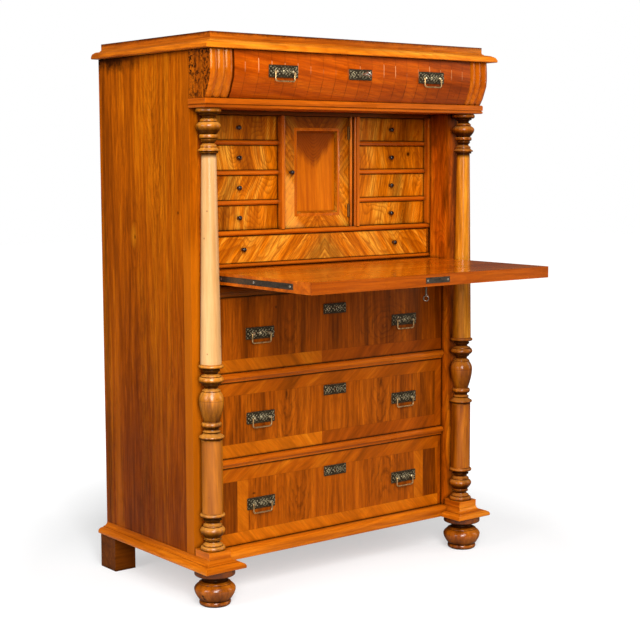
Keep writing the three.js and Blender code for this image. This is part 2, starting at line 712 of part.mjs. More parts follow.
// One side of the gallery: its outer board, the divider beside the door with its stepped beads, and the
// rails between the small drawers
function makeRack(side) {
  const [z0, z1] = [smallBottom, smallTop];
  const outer = block(...span(side, galleryInner, galleryHalf), LEDGE_SETBACK, backPlane, z0, z1);
  const divider = block(...span(side, dividerInner, dividerOuter), LEDGE_SETBACK, backPlane, z0, z1);
  const doorDepth = SMALL_SETBACK + DOOR_THICK + RUN;
  const jamb = block(...span(side, doorwayHalf, dividerOuter), SMALL_SETBACK - OVER, doorDepth, z0, z1);
  const beadSteps = Array.from({ length: BEAD_COUNT }, (_, i) => (2 * i + 1) * BEAD_RADIUS);
  const beads = beadSteps.map((step) => bar(
    'z', BEAD_RADIUS, z0, z1, side * (doorwayHalf + step), SMALL_SETBACK - step,
  ));
  const fill = beadSteps.map((step) => block(
    ...span(side, doorwayHalf + step, dividerOuter), SMALL_SETBACK - step, SMALL_SETBACK, z0, z1,
  ));
  const rails = Array.from({ length: SMALL_ROWS - 1 }, (_, row) => {
    const top = z0 + (row + 1) * rowPitch;
    return nosedBoard(
      ...span(side, dividerOuter - OVER, galleryInner + OVER), SMALL_SETBACK - SMALL_RAIL_OUT,
      backPlane - SMALL_BACK_ROOM, top - SMALL_RAIL, top,
    );
  });
  return [divider, jamb, ...beads, ...fill, ...rails].reduce((solid, piece) => solid.add(piece), outer);
}

// Cupboard door: a framed panel with a bevelled edge, a knob on its left and two knuckles on its right
const doorHalf = doorwayHalf - DOOR_GAP;
const doorBottom = smallBottom + DOOR_GAP;
const doorTop = smallTop - DOOR_GAP;
const hingeX = doorHalf - HINGE_RADIUS - FIT;
const hingeY = SMALL_SETBACK - HINGE_RADIUS - FIT;

function makeDoor() {
  const face = SMALL_SETBACK;
  const slab = block(-doorHalf, doorHalf, face, face + DOOR_THICK, doorBottom, doorTop);
  const [half, low, high] = [doorHalf - DOOR_STILE, doorBottom + DOOR_RAIL, doorTop - DOOR_RAIL];
  const mouthY = face - OVER * (PANEL_RECESS / PANEL_BEVEL);
  const mouth = rectangle(0, half + OVER, mouthY, low - OVER, high + OVER);
  const floor = rectangle(
    0, half - PANEL_BEVEL, face + PANEL_RECESS, low + PANEL_BEVEL, high - PANEL_BEVEL,
  );
  const recess = loft([mouth, floor]);
  const knuckles = [doorBottom + HINGE_INSET, doorTop - HINGE_INSET].map((z) => {
    const [z0, z1] = [z - HINGE_LENGTH / 2, z + HINGE_LENGTH / 2];
    const leafFace = face - FIT - HINGE_RADIUS / 2;
    const leaf = block(doorHalf - HINGE_LEAF, doorHalf, leafFace, face + OVER, z0, z1);
    return bar('z', HINGE_RADIUS, z0, z1, hingeX, hingeY).add(leaf);
  });
  const pull = knob(-doorHalf + DOOR_STILE / 2, face, (doorBottom + doorTop) / 2);
  return [...knuckles, pull].reduce((solid, piece) => solid.add(piece), slab.subtract(recess));
}

// Columns and feet

function makeColumn(side) {
  const [x, y, half] = [side * columnX, -COLUMN_SETOUT, PLINTH_WIDTH / 2];
  const plinthTop = baseTop + PLINTH_HEIGHT;
  const plinth = block(x - half, x + half, y - half, -FIT, baseTop + FIT, plinthTop);
  const height = shelfBottom - FIT - plinthTop + OVER;
  return plinth.add(turned(columnShares, height, COLUMN_RADIUS, TURNED_SIDES, x, y, plinthTop - OVER));
}

function makeFrontFoot(side) {
  return turned(footShares, FOOT_HEIGHT - FIT, FOOT_RADIUS, TURNED_SIDES, side * columnX, -FOOT_SETOUT, 0);
}

function makeRearFoot(side) {
  const outer = caseHalf + REAR_FOOT_OUT;
  return block(
    ...span(side, outer - REAR_FOOT_WIDTH, outer), CASE_DEPTH - REAR_FOOT_DEPTH, CASE_DEPTH,
    0, FOOT_HEIGHT - FIT,
  );
}

// Writing flap, open and level with the writing floor

const flapHalf = openHalf - RUN;
const strapZ0 = pivotZ - STRAP_WIDTH / 2;
const strapZ1 = pivotZ + STRAP_WIDTH / 2;
const strapFront = FLAP_SETBACK - STRAP_LENGTH;
const boltZ0 = pivotZ - BOLT_THICK / 2;
const boltZ1 = pivotZ + BOLT_THICK / 2;
const keyY = -FLAP_REACH + KEY_SETBACK;

function makeFlap() {
  const board = block(-flapHalf, flapHalf, -FLAP_REACH, FLAP_SETBACK - FIT, floorBottom, floorTop);
  const recesses = [-1, 1].map((side) => block(
    ...span(side, flapHalf - STRAP_THICK - FIT, flapHalf + OVER), strapFront - FIT, FLAP_SETBACK + OVER,
    strapZ0 - FIT, strapZ1 + FIT,
  ));
  const half = LOCK_WIDTH / 2 + FIT;
  const plate = block(
    -half, half, -FLAP_REACH - OVER, -FLAP_REACH + LOCK_PLATE + FIT,
    pivotZ - LOCK_HEIGHT / 2 - FIT, pivotZ + LOCK_HEIGHT / 2 + FIT,
  );
  const boltHalf = BOLT_WIDTH / 2 + FIT;
  const boltRoom = block(
    -boltHalf, boltHalf, -FLAP_REACH - OVER, -FLAP_REACH + BOLT_LENGTH + RUN, boltZ0 - FIT, boltZ1 + FIT,
  );
  const upright = geometryOf(keyhole(0, 0, 0, true)).rotateX(Math.PI / 2);
  const keyRoom = solidOf(upright.translate(0, keyY, floorBottom));
  return [...recesses, plate, boltRoom, keyRoom].reduce((solid, cut) => solid.subtract(cut), board);
}

function makeStrap(side) {
  const half = STRAP_WIDTH / 2;
  const tail = Array.from({ length: 2 * ARC_STEPS + 1 }, (_, i) => {
    const turn = (Math.PI * i) / (2 * ARC_STEPS);
    return [pivotY + STRAP_TAIL - half + half * Math.sin(turn), pivotZ - half * Math.cos(turn)];
  });
  const [x0, x1] = span(side, flapHalf - STRAP_THICK, flapHalf);
  const iron = prismX([[strapFront, strapZ0], ...tail, [strapFront, strapZ1]], x0, x1);
  const pin = bar(
    'x', PIN_RADIUS, ...span(side, flapHalf - STRAP_THICK, openHalf + PIN_LENGTH - RUN), pivotY, pivotZ,
  );
  return iron.add(pin);
}

function makeLockPlate() {
  const [half, h] = [LOCK_WIDTH / 2, LOCK_HEIGHT / 2];
  const plate = block(-half, half, -FLAP_REACH, -FLAP_REACH + LOCK_PLATE, pivotZ - h, pivotZ + h);
  const boltHalf = BOLT_WIDTH / 2 + FIT;
  return plate.subtract(block(
    -boltHalf, boltHalf, -FLAP_REACH - OVER, -FLAP_REACH + LOCK_PLATE + OVER, boltZ0 - FIT, boltZ1 + FIT,
  ));
}

function makeBolt() {
  return block(
    -BOLT_WIDTH / 2, BOLT_WIDTH / 2, -FLAP_REACH + FIT, -FLAP_REACH + BOLT_LENGTH, boltZ0, boltZ1,
  );
}

// A key that stands out of a face along +Z, with its bit inside the lock
function keySolid() {
  const shaft = bar('z', KEY_SHAFT, -KEY_DEPTH, KEY_REACH + BOW_TUBE, 0, 0);
  const collar = bar('z', KEY_SHAFT + RUN, KEY_REACH - OVER, KEY_REACH, 0, 0);
  const bit = block(
    -KEY_BIT_THICK / 2, KEY_BIT_THICK / 2, 0, KEY_BIT, -KEY_DEPTH, -KEY_DEPTH + KEY_BIT_HEIGHT,
  );
  const ring = new THREE.TorusGeometry(BOW_RADIUS, BOW_TUBE, ROD_SIDES, PIN_SIDES);
  ring.rotateX(Math.PI / 2).rotateZ(Math.PI / 4).translate(0, 0, KEY_REACH + BOW_RADIUS);
  return shaft.add(collar).add(bit).add(solidOf(ring));
}

function makeFlapKey() {
  return solidOf(geometryOf(keySolid()).rotateX(Math.PI).translate(0, keyY, floorBottom));
}

function makeFriezeKey() {
  const z = shelfTop + FRIEZE_HEIGHT * friezePlateShare;
  const face = -FRIEZE_SWELL - ESCUTCHEON_THICK / 2;
  return solidOf(geometryOf(keySolid()).rotateX(Math.PI / 2).translate(0, face, z));
}

// Handles: a plate with two ears, and a bail that swings in them

function makePlate(x, face, z) {
  const [w, h] = [PLATE_WIDTH / 2, PLATE_HEIGHT / 2];
  const back = face - FIT;
  const front = back - PLATE_THICK;
  const pivot = front - BAIL_STANDOFF;
  const pivotLevel = z - BAIL_LIFT;
  const boss = bar('y', BOSS_RADIUS, front - BOSS_RISE, back, x, z);
  const ears = [-1, 1].flatMap((side) => {
    const middle = x + (side * EAR_SPREAD) / 2;
    const [x0, x1] = [middle - EAR_WIDTH / 2, middle + EAR_WIDTH / 2];
    return [
      bar('x', EAR_RADIUS, x0, x1, pivot, pivotLevel, EAR_SIDES),
      bar('y', EAR_NECK, pivot, back, middle, pivotLevel, EAR_SIDES),
    ];
  });
  const sheet = bevelled(x, w, back, front, z - h, z + h);
  const solid = [boss, ...ears].reduce((sum, part) => sum.add(part), sheet);
  return solid.subtract(bar('x', BAIL_RADIUS + FIT, x - w, x + w, pivot, pivotLevel, EAR_SIDES));
}

function makeBail(x, face, z) {
  const stub = (EAR_SPREAD - EAR_WIDTH) / 2 + FIT;
  const half = [
    [stub, 0], [BAIL_HALF, 0], [BAIL_HALF, -BAIL_DROP + BAIL_CORNER], [BAIL_HALF - BAIL_CORNER, -BAIL_DROP],
  ];
  const path = [...half, ...half.map(([a, b]) => [-a, b]).reverse()];
  const placed = path.map(([a, b]) => [x + a, z - BAIL_LIFT + b]);
  return rod(placed, BAIL_RADIUS, face - FIT - PLATE_THICK - BAIL_STANDOFF);
}

// Finishes

function finish(color, roughness, metalness = 0) {
  return new THREE.MeshStandardMaterial({ color, roughness, metalness, flatShading: true });
}

const walnut = finish(0xb5651d, 0.35);
const paleWalnut = finish(0xc97a2b, 0.35);
const darkWalnut = finish(0x9a4f17, 0.35);
const maple = finish(0xd9a05b, 0.3);
const iron = finish(0x3a342c, 0.55, 0.8);
const bronze = finish(0x6b5f45, 0.45, 0.9);
const steel = finish(0xa8a49a, 0.35, 1);

const secretary = new THREE.Group();
secretary.name = 'fall_front_secretary';

function piece(name, solid, material) {
  const mesh = new THREE.Mesh(geometryOf(solid), material);
  mesh.name = name;
  secretary.add(mesh);
}

const hands = [['left', -1], ['right', 1]];
const frontPlane = DRAWER_SETBACK;
const friezePlate = shelfTop + FRIEZE_HEIGHT * friezePlateShare;

piece('back_panel', makeBack(), darkWalnut);
piece('top_board', makeCornice(), walnut);
piece('frieze_shelf', makeShelf(), walnut);
piece('writing_floor', makeFloor(), walnut);
piece('upper_rail', makeUpperRail(), walnut);
piece('middle_rail', makeRail(middleRailTop), walnut);
piece('lower_rail', makeRail(lowerRailTop), walnut);
piece('base_frame', makeBase(), paleWalnut);
piece('gallery_base', makeGalleryBase(), walnut);
piece('gallery_shelf', makeGalleryShelf(), walnut);
piece('gallery_top', makeGalleryTop(), darkWalnut);
for (const [hand, side] of hands) {
  piece(`${hand}_side`, makeSide(side), walnut);
  piece(`${hand}_frieze_block`, makeFriezeBlock(side), walnut);
  piece(`${hand}_column`, makeColumn(side), maple);
  piece(`${hand}_front_foot`, makeFrontFoot(side), darkWalnut);
  piece(`${hand}_rear_foot`, makeRearFoot(side), darkWalnut);
  piece(`${hand}_drawer_rack`, makeRack(side), walnut);
  piece(`${hand}_flap_strap`, makeStrap(side), iron);
}
piece('fall_front', makeFlap(), paleWalnut);
piece('flap_lock_plate', makeLockPlate(), iron);
piece('flap_lock_bolt', makeBolt(), iron);
piece('flap_key', makeFlapKey(), iron);
piece('frieze_key', makeFriezeKey(), steel);
piece('cupboard_door', makeDoor(), walnut);
piece('frieze_drawer', makeFriezeDrawer(), paleWalnut);
piece('upper_drawer', makeLongDrawer(middleRailTop, upperTop), walnut);
piece('middle_drawer', makeLongDrawer(lowerRailTop, middleTop), walnut);
piece('lower_drawer', makeLongDrawer(baseTop, lowerTop), walnut);
piece('wide_drawer', makeWideDrawer(), paleWalnut);

for (const [hand, side] of hands) {
  for (let row = 0; row < SMALL_ROWS; row += 1) {
    const top = smallTop - row * rowPitch;
    const [x0, x1] = span(side, dividerOuter + RUN / 2, galleryInner - RUN / 2);
    const [z0, z1] = [top - rowPitch + SMALL_RAIL + FIT, top - RUN / 2];
    piece(`${hand}_small_drawer_${row + 1}`, makeSmallDrawer(x0, x1, z0, z1), paleWalnut);
  }
}

const handles = [
  ['frieze', -FRIEZE_SWELL, friezePlate],
  ['upper', frontPlane, (middleRailTop + upperTop) / 2],
  ['middle', frontPlane, (lowerRailTop + middleTop) / 2],
  ['lower', frontPlane, (baseTop + lowerTop) / 2],
];
for (const [drawer, face, z] of handles) {
  for (const [hand, side] of hands) {
    const x = side * (openHalf - HANDLE_INSET);
    piece(`${drawer}_${hand}_plate`, makePlate(x, face, z), bronze);
    piece(`${drawer}_${hand}_bail`, makeBail(x, face, z), bronze);
  }
}

// The origin lies below the middle of the whole, flap included
secretary.position.y = (FLAP_REACH - CASE_DEPTH) / 2;

export default secretary;
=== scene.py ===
# %% [markdown]
# # A fall-front secretary in walnut
#
# This notebook dresses a cabinet whose plain solids come from a CAD model. The solids fix every size and
# every joint. Blender adds what the eye looks for: figured veneer, polish, turned work, stamped bronze and
# worn iron. The first cell loads the solids.

# %% Load the frame
import math

import bpy
from mathutils import Matrix, Vector


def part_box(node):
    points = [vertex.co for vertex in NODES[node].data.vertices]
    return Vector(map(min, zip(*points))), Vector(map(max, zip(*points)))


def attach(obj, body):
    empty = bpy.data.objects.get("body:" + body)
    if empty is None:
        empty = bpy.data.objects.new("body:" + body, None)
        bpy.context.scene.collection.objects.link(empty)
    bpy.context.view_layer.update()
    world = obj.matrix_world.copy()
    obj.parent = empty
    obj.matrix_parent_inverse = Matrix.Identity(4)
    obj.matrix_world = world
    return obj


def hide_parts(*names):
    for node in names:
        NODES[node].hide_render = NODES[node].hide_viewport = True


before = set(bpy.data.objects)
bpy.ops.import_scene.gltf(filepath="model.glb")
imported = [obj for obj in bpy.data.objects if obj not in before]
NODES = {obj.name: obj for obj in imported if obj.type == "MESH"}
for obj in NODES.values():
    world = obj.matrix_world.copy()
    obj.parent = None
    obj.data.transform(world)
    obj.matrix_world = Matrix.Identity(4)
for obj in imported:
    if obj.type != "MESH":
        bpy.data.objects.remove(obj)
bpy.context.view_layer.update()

HANDS = ("left", "right")
MM = 0.001


def front_of(node):
    """The plane, in Y, where a solid begins towards the viewer."""
    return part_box(node)[0].y


# %% [markdown]
# ## The camera
#
# The photograph was taken from the left, a little below the top of the cabinet, with a long lens. A camera
# fitted to some sixty corners gives its place and direction. The rotation is built from three unit vectors,
# because that is easier to check than three angles: right, up, and the direction from the subject back to
# the camera.

# %% Place the camera
CAMERA_AT = Vector((-2.3611, -2.9449, 1.0991))
HEADING = math.radians(38.2509)
PITCH = math.radians(-6.4065)
ROLL = math.radians(-0.1276)
SENSOR = 36.0
FOCAL_SHARE = 1431.95 / 640.0

forward = Vector((
    math.sin(HEADING) * math.cos(PITCH), math.cos(HEADING) * math.cos(PITCH), math.sin(PITCH),
))
level = Vector((math.cos(HEADING), -math.sin(HEADING), 0.0))
upright = level.cross(forward)
right = math.cos(ROLL) * level + math.sin(ROLL) * upright
up = right.cross(forward)

lens = bpy.data.cameras.new("camera")
lens.sensor_width = SENSOR
lens.lens = SENSOR * FOCAL_SHARE
lens.clip_end = 100.0
camera = bpy.data.objects.new("camera", lens)
bpy.context.scene.collection.objects.link(camera)
camera.matrix_world = Matrix((
    (right.x, up.x, -forward.x, CAMERA_AT.x),
    (right.y, up.y, -forward.y, CAMERA_AT.y),
    (right.z, up.z, -forward.z, CAMERA_AT.z),
    (0.0, 0.0, 0.0, 1.0),
))
bpy.context.scene.camera = camera
print("lens", round(lens.lens, 1), "mm")

# %% [markdown]
# ## Making shader nodes without clutter
#
# A node tree written out socket by socket is hard to read. A few small helpers make it short: `add` makes a
# node and fills its inputs, where a socket is linked and anything else is set as a plain value; `calc` does
# sums, and `plus`, `minus` and `times` are the commonest; `blend` mixes two colours; and `spread` stretches
# a range of values to another range.

# %% Shader helpers
def add(tree, kind, inputs=None, **settings):
    node = tree.nodes.new(kind)
    for name, value in settings.items():
        setattr(node, name, value)
    for key, value in (inputs or {}).items():
        if isinstance(value, bpy.types.NodeSocket):
            tree.links.new(value, node.inputs[key])
        else:
            node.inputs[key].default_value = value
    return node


def calc(tree, operation, *values, clamp=False):
    inputs = dict(enumerate(values))
    return add(tree, "ShaderNodeMath", inputs, operation=operation, use_clamp=clamp).outputs[0]


def times(tree, *values):
    """The product of sockets and numbers. The product of masks leaves what lies inside all of them."""
    product = values[0]
    for value in values[1:]:
        product = calc(tree, "MULTIPLY", product, value)
    return product


def plus(tree, first, second):
    return calc(tree, "ADD", first, second)


def minus(tree, first, second):
    return calc(tree, "SUBTRACT", first, second)


def length_of(tree, across, along):
    return calc(tree, "SQRT", plus(tree, times(tree, across, across), times(tree, along, along)))


def blend(tree, share, first, second, way="MIX"):
    inputs = {0: share, 6: first, 7: second}
    return add(tree, "ShaderNodeMix", inputs, data_type="RGBA", blend_type=way).outputs[2]


def spread(tree, value, low, high, to_low=0.0, to_high=1.0):
    inputs = {0: value, 1: low, 2: high, 3: to_low, 4: to_high}
    return add(tree, "ShaderNodeMapRange", inputs, clamp=True).outputs[0]


def ramp(tree, value, stops):
    node = add(tree, "ShaderNodeValToRGB", {0: value})
    elements = node.color_ramp.elements
    while len(elements) < len(stops):
        elements.new(1.0)
    for element, (place, colour) in zip(elements, stops):
        element.position = place
        element.color = colour
    return node.outputs[0]


def combine(tree, x, y, z):
    return add(tree, "ShaderNodeCombineXYZ", {0: x, 1: y, 2: z}).outputs[0]


def noise(tree, vector, scale, detail=2.0, roughness=0.5):
    inputs = {"Vector": vector, "Scale": scale, "Detail": detail, "Roughness": roughness}
    return add(tree, "ShaderNodeTexNoise", inputs).outputs


def tone(red, green, blue):
    """A colour as it is seen on the screen, from 0 to 255, as the linear colour that Blender works in."""
    def linear(value):
        share = value / 255.0
        return share / 12.92 if share <= 0.04045 else ((share + 0.055) / 1.055) ** 2.4
    return (linear(red), linear(green), linear(blue), 1.0)


def new_group(name, inputs, outputs):
    """A shader group with named sockets, its sheet, and where its inputs come in and its outputs go out."""
    group = bpy.data.node_groups.new(name, "ShaderNodeTree")
    for label, kind, value in inputs:
        socket = group.interface.new_socket(label, in_out="INPUT", socket_type=kind)
        if value is not None:
            socket.default_value = value
    for label, kind in outputs:
        group.interface.new_socket(label, in_out="OUTPUT", socket_type=kind)
    return group, group.nodes.new("NodeGroupInput").outputs, group.nodes.new("NodeGroupOutput").inputs


def use_group(tree, group, **values):
    node = tree.nodes.new("ShaderNodeGroup")
    node.node_tree = group
    for label, value in values.items():
        socket = node.inputs[label.replace("_", " ")]
        if isinstance(value, bpy.types.NodeSocket):
            tree.links.new(value, socket)
        else:
            socket.default_value = value
    return node.outputs


FLOAT, VECTOR, COLOUR = "NodeSocketFloat", "NodeSocketVector", "NodeSocketColor"
print("shader helpers ready")

# %% [markdown]
# ## Wood figure
#
# Walnut shows several things at once: streaks of light and dark along the grain, the dark edges of the year
# rings, fine fibres, and short pores. One group makes them all from a vector whose Z runs along the grain,
# so every veneer only has to turn its coordinates. Streaks are noise squeezed along Z. Year rings are the
# contour lines of a slow noise: a sawtooth of its height, dark on one side and sharp on the other, as late
# wood is.

# %% Group: wood figure
wood_figure, given, result = new_group(
    "wood figure",
    [("Vector", VECTOR, None), ("Scale", FLOAT, 26.0), ("Stretch", FLOAT, 0.06), ("Warp", FLOAT, 0.02),
     ("Rings", FLOAT, 26.0), ("Seed", FLOAT, 0.0)],
    [("Figure", FLOAT), ("Lines", FLOAT), ("Fibre", FLOAT), ("Pores", FLOAT)],
)
t = wood_figure
shift = combine(
    t, times(t, given["Seed"], 1.37), times(t, given["Seed"], 2.11),
    times(t, given["Seed"], 0.73),
)
moved = add(t, "ShaderNodeVectorMath", {0: given["Vector"], 1: shift}, operation="ADD").outputs[0]
parts = add(t, "ShaderNodeSeparateXYZ", {0: moved}).outputs
slow = combine(t, parts[0], parts[1], times(t, parts[2], 0.35))
centred = add(
    t, "ShaderNodeVectorMath", {0: noise(t, slow, 7.0)[1], 1: (0.5, 0.5, 0.5)}, operation="SUBTRACT",
).outputs[0]
bend = add(t, "ShaderNodeVectorMath", {0: centred, 3: given["Warp"]}, operation="SCALE").outputs[0]


def squeezed(stretch):
    along = combine(t, parts[0], parts[1], times(t, parts[2], stretch))
    return add(t, "ShaderNodeVectorMath", {0: along, 1: bend}, operation="ADD").outputs[0]


streaks = noise(t, squeezed(given["Stretch"]), given["Scale"], 4.0, 0.66)[0]
broad = noise(t, squeezed(given["Stretch"]), times(t, given["Scale"], 0.24), 1.5)[0]
figure = calc(
    t, "ADD", times(t, spread(t, streaks, 0.3, 0.7), 0.62),
    times(t, spread(t, broad, 0.34, 0.66), 0.38), clamp=True,
)
t.links.new(figure, result["Figure"])
hill_stretch = times(t, given["Stretch"], 3.0)
hills = noise(t, squeezed(hill_stretch), times(t, given["Scale"], 0.18), 1.0)
height = plus(t, times(t, hills[0], given["Rings"]), times(t, streaks, 1.1))
saw = calc(t, "FRACT", height)
late = times(t, calc(t, "POWER", saw, 2.6), spread(t, saw, 0.86, 1.0, 1.0, 0.0))
t.links.new(late, result["Lines"])
fine = combine(
    t, plus(t, parts[0], times(t, streaks, 0.006)),
    plus(t, parts[1], times(t, streaks, 0.006)), times(t, parts[2], 0.05),
)
t.links.new(spread(t, noise(t, fine, 150.0, 4.0, 0.8)[0], 0.37, 0.63), result["Fibre"])
short = combine(t, parts[0], parts[1], times(t, parts[2], 0.07))
t.links.new(spread(t, noise(t, short, 1100.0, 1.0)[0], 0.6, 0.7), result["Pores"])
print("group", wood_figure.name)

# %% [markdown]
# ## Crowns
#
# Where a saw or a knife cuts a trunk near its middle, the year rings show as nested V shapes, which joiners
# call crowns, or as closed ovals. Both are contour lines of one sum: the way along the grain less a rounded
# distance from the axis. `Along` turns the first part off for ovals, and `Closed` lets the lines close. A
# window fades the figure out into the plain streaks around it.

# %% Group: crown figure
crown_figure, given, result = new_group(
    "crown figure",
    [("Vector", VECTOR, None), ("Steepness", FLOAT, 3.0), ("Round", FLOAT, 0.02), ("Along", FLOAT, 1.0),
     ("Closed", FLOAT, 0.0), ("Lines", FLOAT, 60.0), ("Width", FLOAT, 0.05), ("Height", FLOAT, 0.15)],
    [("Mask", FLOAT)],
)
t = crown_figure
parts = add(t, "ShaderNodeSeparateXYZ", {0: given["Vector"]}).outputs


def squared(value):
    return times(t, value, value)


away = squared(times(t, parts[0], given["Steepness"]))
closing = squared(times(t, parts[2], given["Closed"]))
root = calc(t, "SQRT", plus(t, plus(t, away, closing), squared(given["Round"])))
level_now = minus(t, times(t, parts[2], given["Along"]), root)
wobble = times(t, noise(t, given["Vector"], 30.0, 3.0, 0.6)[0], 2.2)
saw = calc(t, "FRACT", plus(t, times(t, level_now, given["Lines"]), wobble))
late = times(t, calc(t, "POWER", saw, 2.4), spread(t, saw, 0.82, 1.0, 1.0, 0.0))
late = times(t, late, spread(t, noise(t, given["Vector"], 55.0, 2.0)[0], 0.36, 0.56, 0.35, 1.0))
window_x = calc(t, "SUBTRACT", 1.0, squared(calc(t, "DIVIDE", parts[0], given["Width"])), clamp=True)
window_z = calc(t, "SUBTRACT", 1.0, squared(calc(t, "DIVIDE", parts[2], given["Height"])), clamp=True)
t.links.new(times(t, late, times(t, window_x, window_z)), result["Mask"])
print("group", crown_figure.name)

# %% [markdown]
# ## Polish, age and corner shade
#
# Shellac polish is never even: hands dull it. This group gives a roughness that drifts over the surface, a
# mask of painted shade for the corners, made with ambient occlusion over a short distance, a slow drift of
# the colour, and faint scratches.

# %% Group: polish, age and corner shade
polish_age_shade, given, result = new_group(
    "polish, age and corner shade",
    [("Vector", VECTOR, None), ("Gloss", FLOAT, 0.3), ("Reach", FLOAT, 0.012)],
    [("Roughness", FLOAT), ("Corner shade", FLOAT), ("Drift", FLOAT), ("Scratches", FLOAT)],
)
t = polish_age_shade
smear = noise(t, given["Vector"], 9.0, 4.0, 0.6)[0]
t.links.new(plus(t, given["Gloss"], spread(t, smear, 0.35, 0.7, -0.04, 0.12)), result["Roughness"])
# Painted shade: ambient occlusion over a short reach gives the mask that darkens corners and gaps
shade = add(t, "ShaderNodeAmbientOcclusion", {"Distance": given["Reach"]}, samples=6)
t.links.new(spread(t, shade.outputs["AO"], 0.3, 0.92, 1.0, 0.0), result["Corner shade"])
t.links.new(spread(t, noise(t, given["Vector"], 3.4, 3.0)[0], 0.32, 0.68), result["Drift"])
lines = add(t, "ShaderNodeTexWave", {
    "Vector": given["Vector"], "Scale": 40.0, "Distortion": 30.0, "Detail": 4.0, "Detail Scale": 3.0,
}, wave_type="BANDS", bands_direction="DIAGONAL").outputs[1]
t.links.new(spread(t, lines, 0.985, 1.0), result["Scratches"])
print("group", polish_age_shade.name)

# %% [markdown]
# ## Coordinates that follow the work of the joiner
#
# A veneer is cut, turned and sometimes opened like a book. `turned` gives coordinates whose Z runs along
# the grain: it swaps axes for plain boards, tilts them by an angle for slanted figure, and mirrors them for
# book matching. `crown` and `spot` place one crown or one knot, and `timber` turns all of it into colour
# with three tones.

# %% Coordinate helpers
def places(tree):
    """The X, Y and Z of a point, in metres, in the frame of the whole cabinet."""
    where = add(tree, "ShaderNodeTexCoord").outputs["Object"]
    return where, add(tree, "ShaderNodeSeparateXYZ", {0: where}).outputs


def turned(tree, xyz, grain="Z", angle=0.0, mirror=None):
    x, y, z = xyz
    if mirror is not None:
        x = calc(tree, "ABSOLUTE", minus(tree, x, mirror))
    if angle:
        cosine, sine = math.cos(math.radians(angle)), math.sin(math.radians(angle))
        x, z = (
            plus(tree, times(tree, x, cosine), times(tree, z, -sine)),
            plus(tree, times(tree, x, sine), times(tree, z, cosine)),
        )
    order = {"Z": (x, y, z), "X": (z, y, x), "Y": (x, z, y)}[grain]
    return combine(tree, *order)


def inside(tree, value, low, high):
    """1 where a value lies between two limits, else 0."""
    above = calc(tree, "GREATER_THAN", value, low)
    return times(tree, above, calc(tree, "LESS_THAN", value, high))


def hump(tree, value, middle, half):
    """A soft band: 1 in its middle, 0 half a width away."""
    away = calc(tree, "ABSOLUTE", minus(tree, value, middle))
    return spread(tree, away, 0.0, half, 1.0, 0.0)


def darken(tree, colour, share, depth):
    """Darkens by a share towards a depth, a little less in red, so that brown stays warm."""
    return blend(tree, share, colour, (depth, 0.82 * depth, 0.6 * depth, 1.0), "MULTIPLY")


def crown(tree, across, along, centre, opening=1, **shape):
    """The lines of one crown. `opening` is 1 for a V that opens upward and -1 for one that opens downward."""
    vector = combine(
        tree, minus(tree, across, centre[0]), 0.0,
        times(tree, minus(tree, along, centre[1]), opening),
    )
    return use_group(tree, crown_figure, Vector=vector, **shape)["Mask"]


def spot(tree, across, along, centre, radius, length=1.0):
    """A small knot: 1 at its centre, 0 at its edge, longer along the grain by `length`."""
    a = minus(tree, across, centre[0])
    b = calc(tree, "DIVIDE", minus(tree, along, centre[1]), length)
    distance = length_of(tree, a, b)
    return spread(tree, distance, 0.25 * radius, radius, 1.0, 0.0)


def timber(tree, vector, look, seed=0.0):
    """The colour of a piece of wood: a look holds three tones and how the figure runs."""
    figure = use_group(
        tree, wood_figure, Vector=vector, Scale=look["scale"], Stretch=look.get("stretch", 0.06),
        Warp=look.get("warp", 0.02), Rings=look.get("rings", 26.0), Seed=seed,
    )
    base = ramp(tree, figure["Figure"], [
        (0.08, look["dark"]), (0.5, look["middle"]), (0.95, look["light"]),
    ])
    lined = blend(tree, times(tree, figure["Lines"], look.get("lines", 0.4)), base, look["dark"])
    fibres = times(tree, spread(tree, figure["Fibre"], 0.0, 0.8, 1.0, 0.0), look.get("fibre", 0.35))
    fibred = blend(tree, fibres, lined, look["dark"])
    pored = blend(tree, times(tree, figure["Pores"], look.get("pores", 0.3)), fibred, look["dark"])
    return pored, figure


POLISH_TINT = (1.0, 0.45, 0.0, 1.0)
COAT_TINT = (1.0, 0.94, 0.8, 1.0)


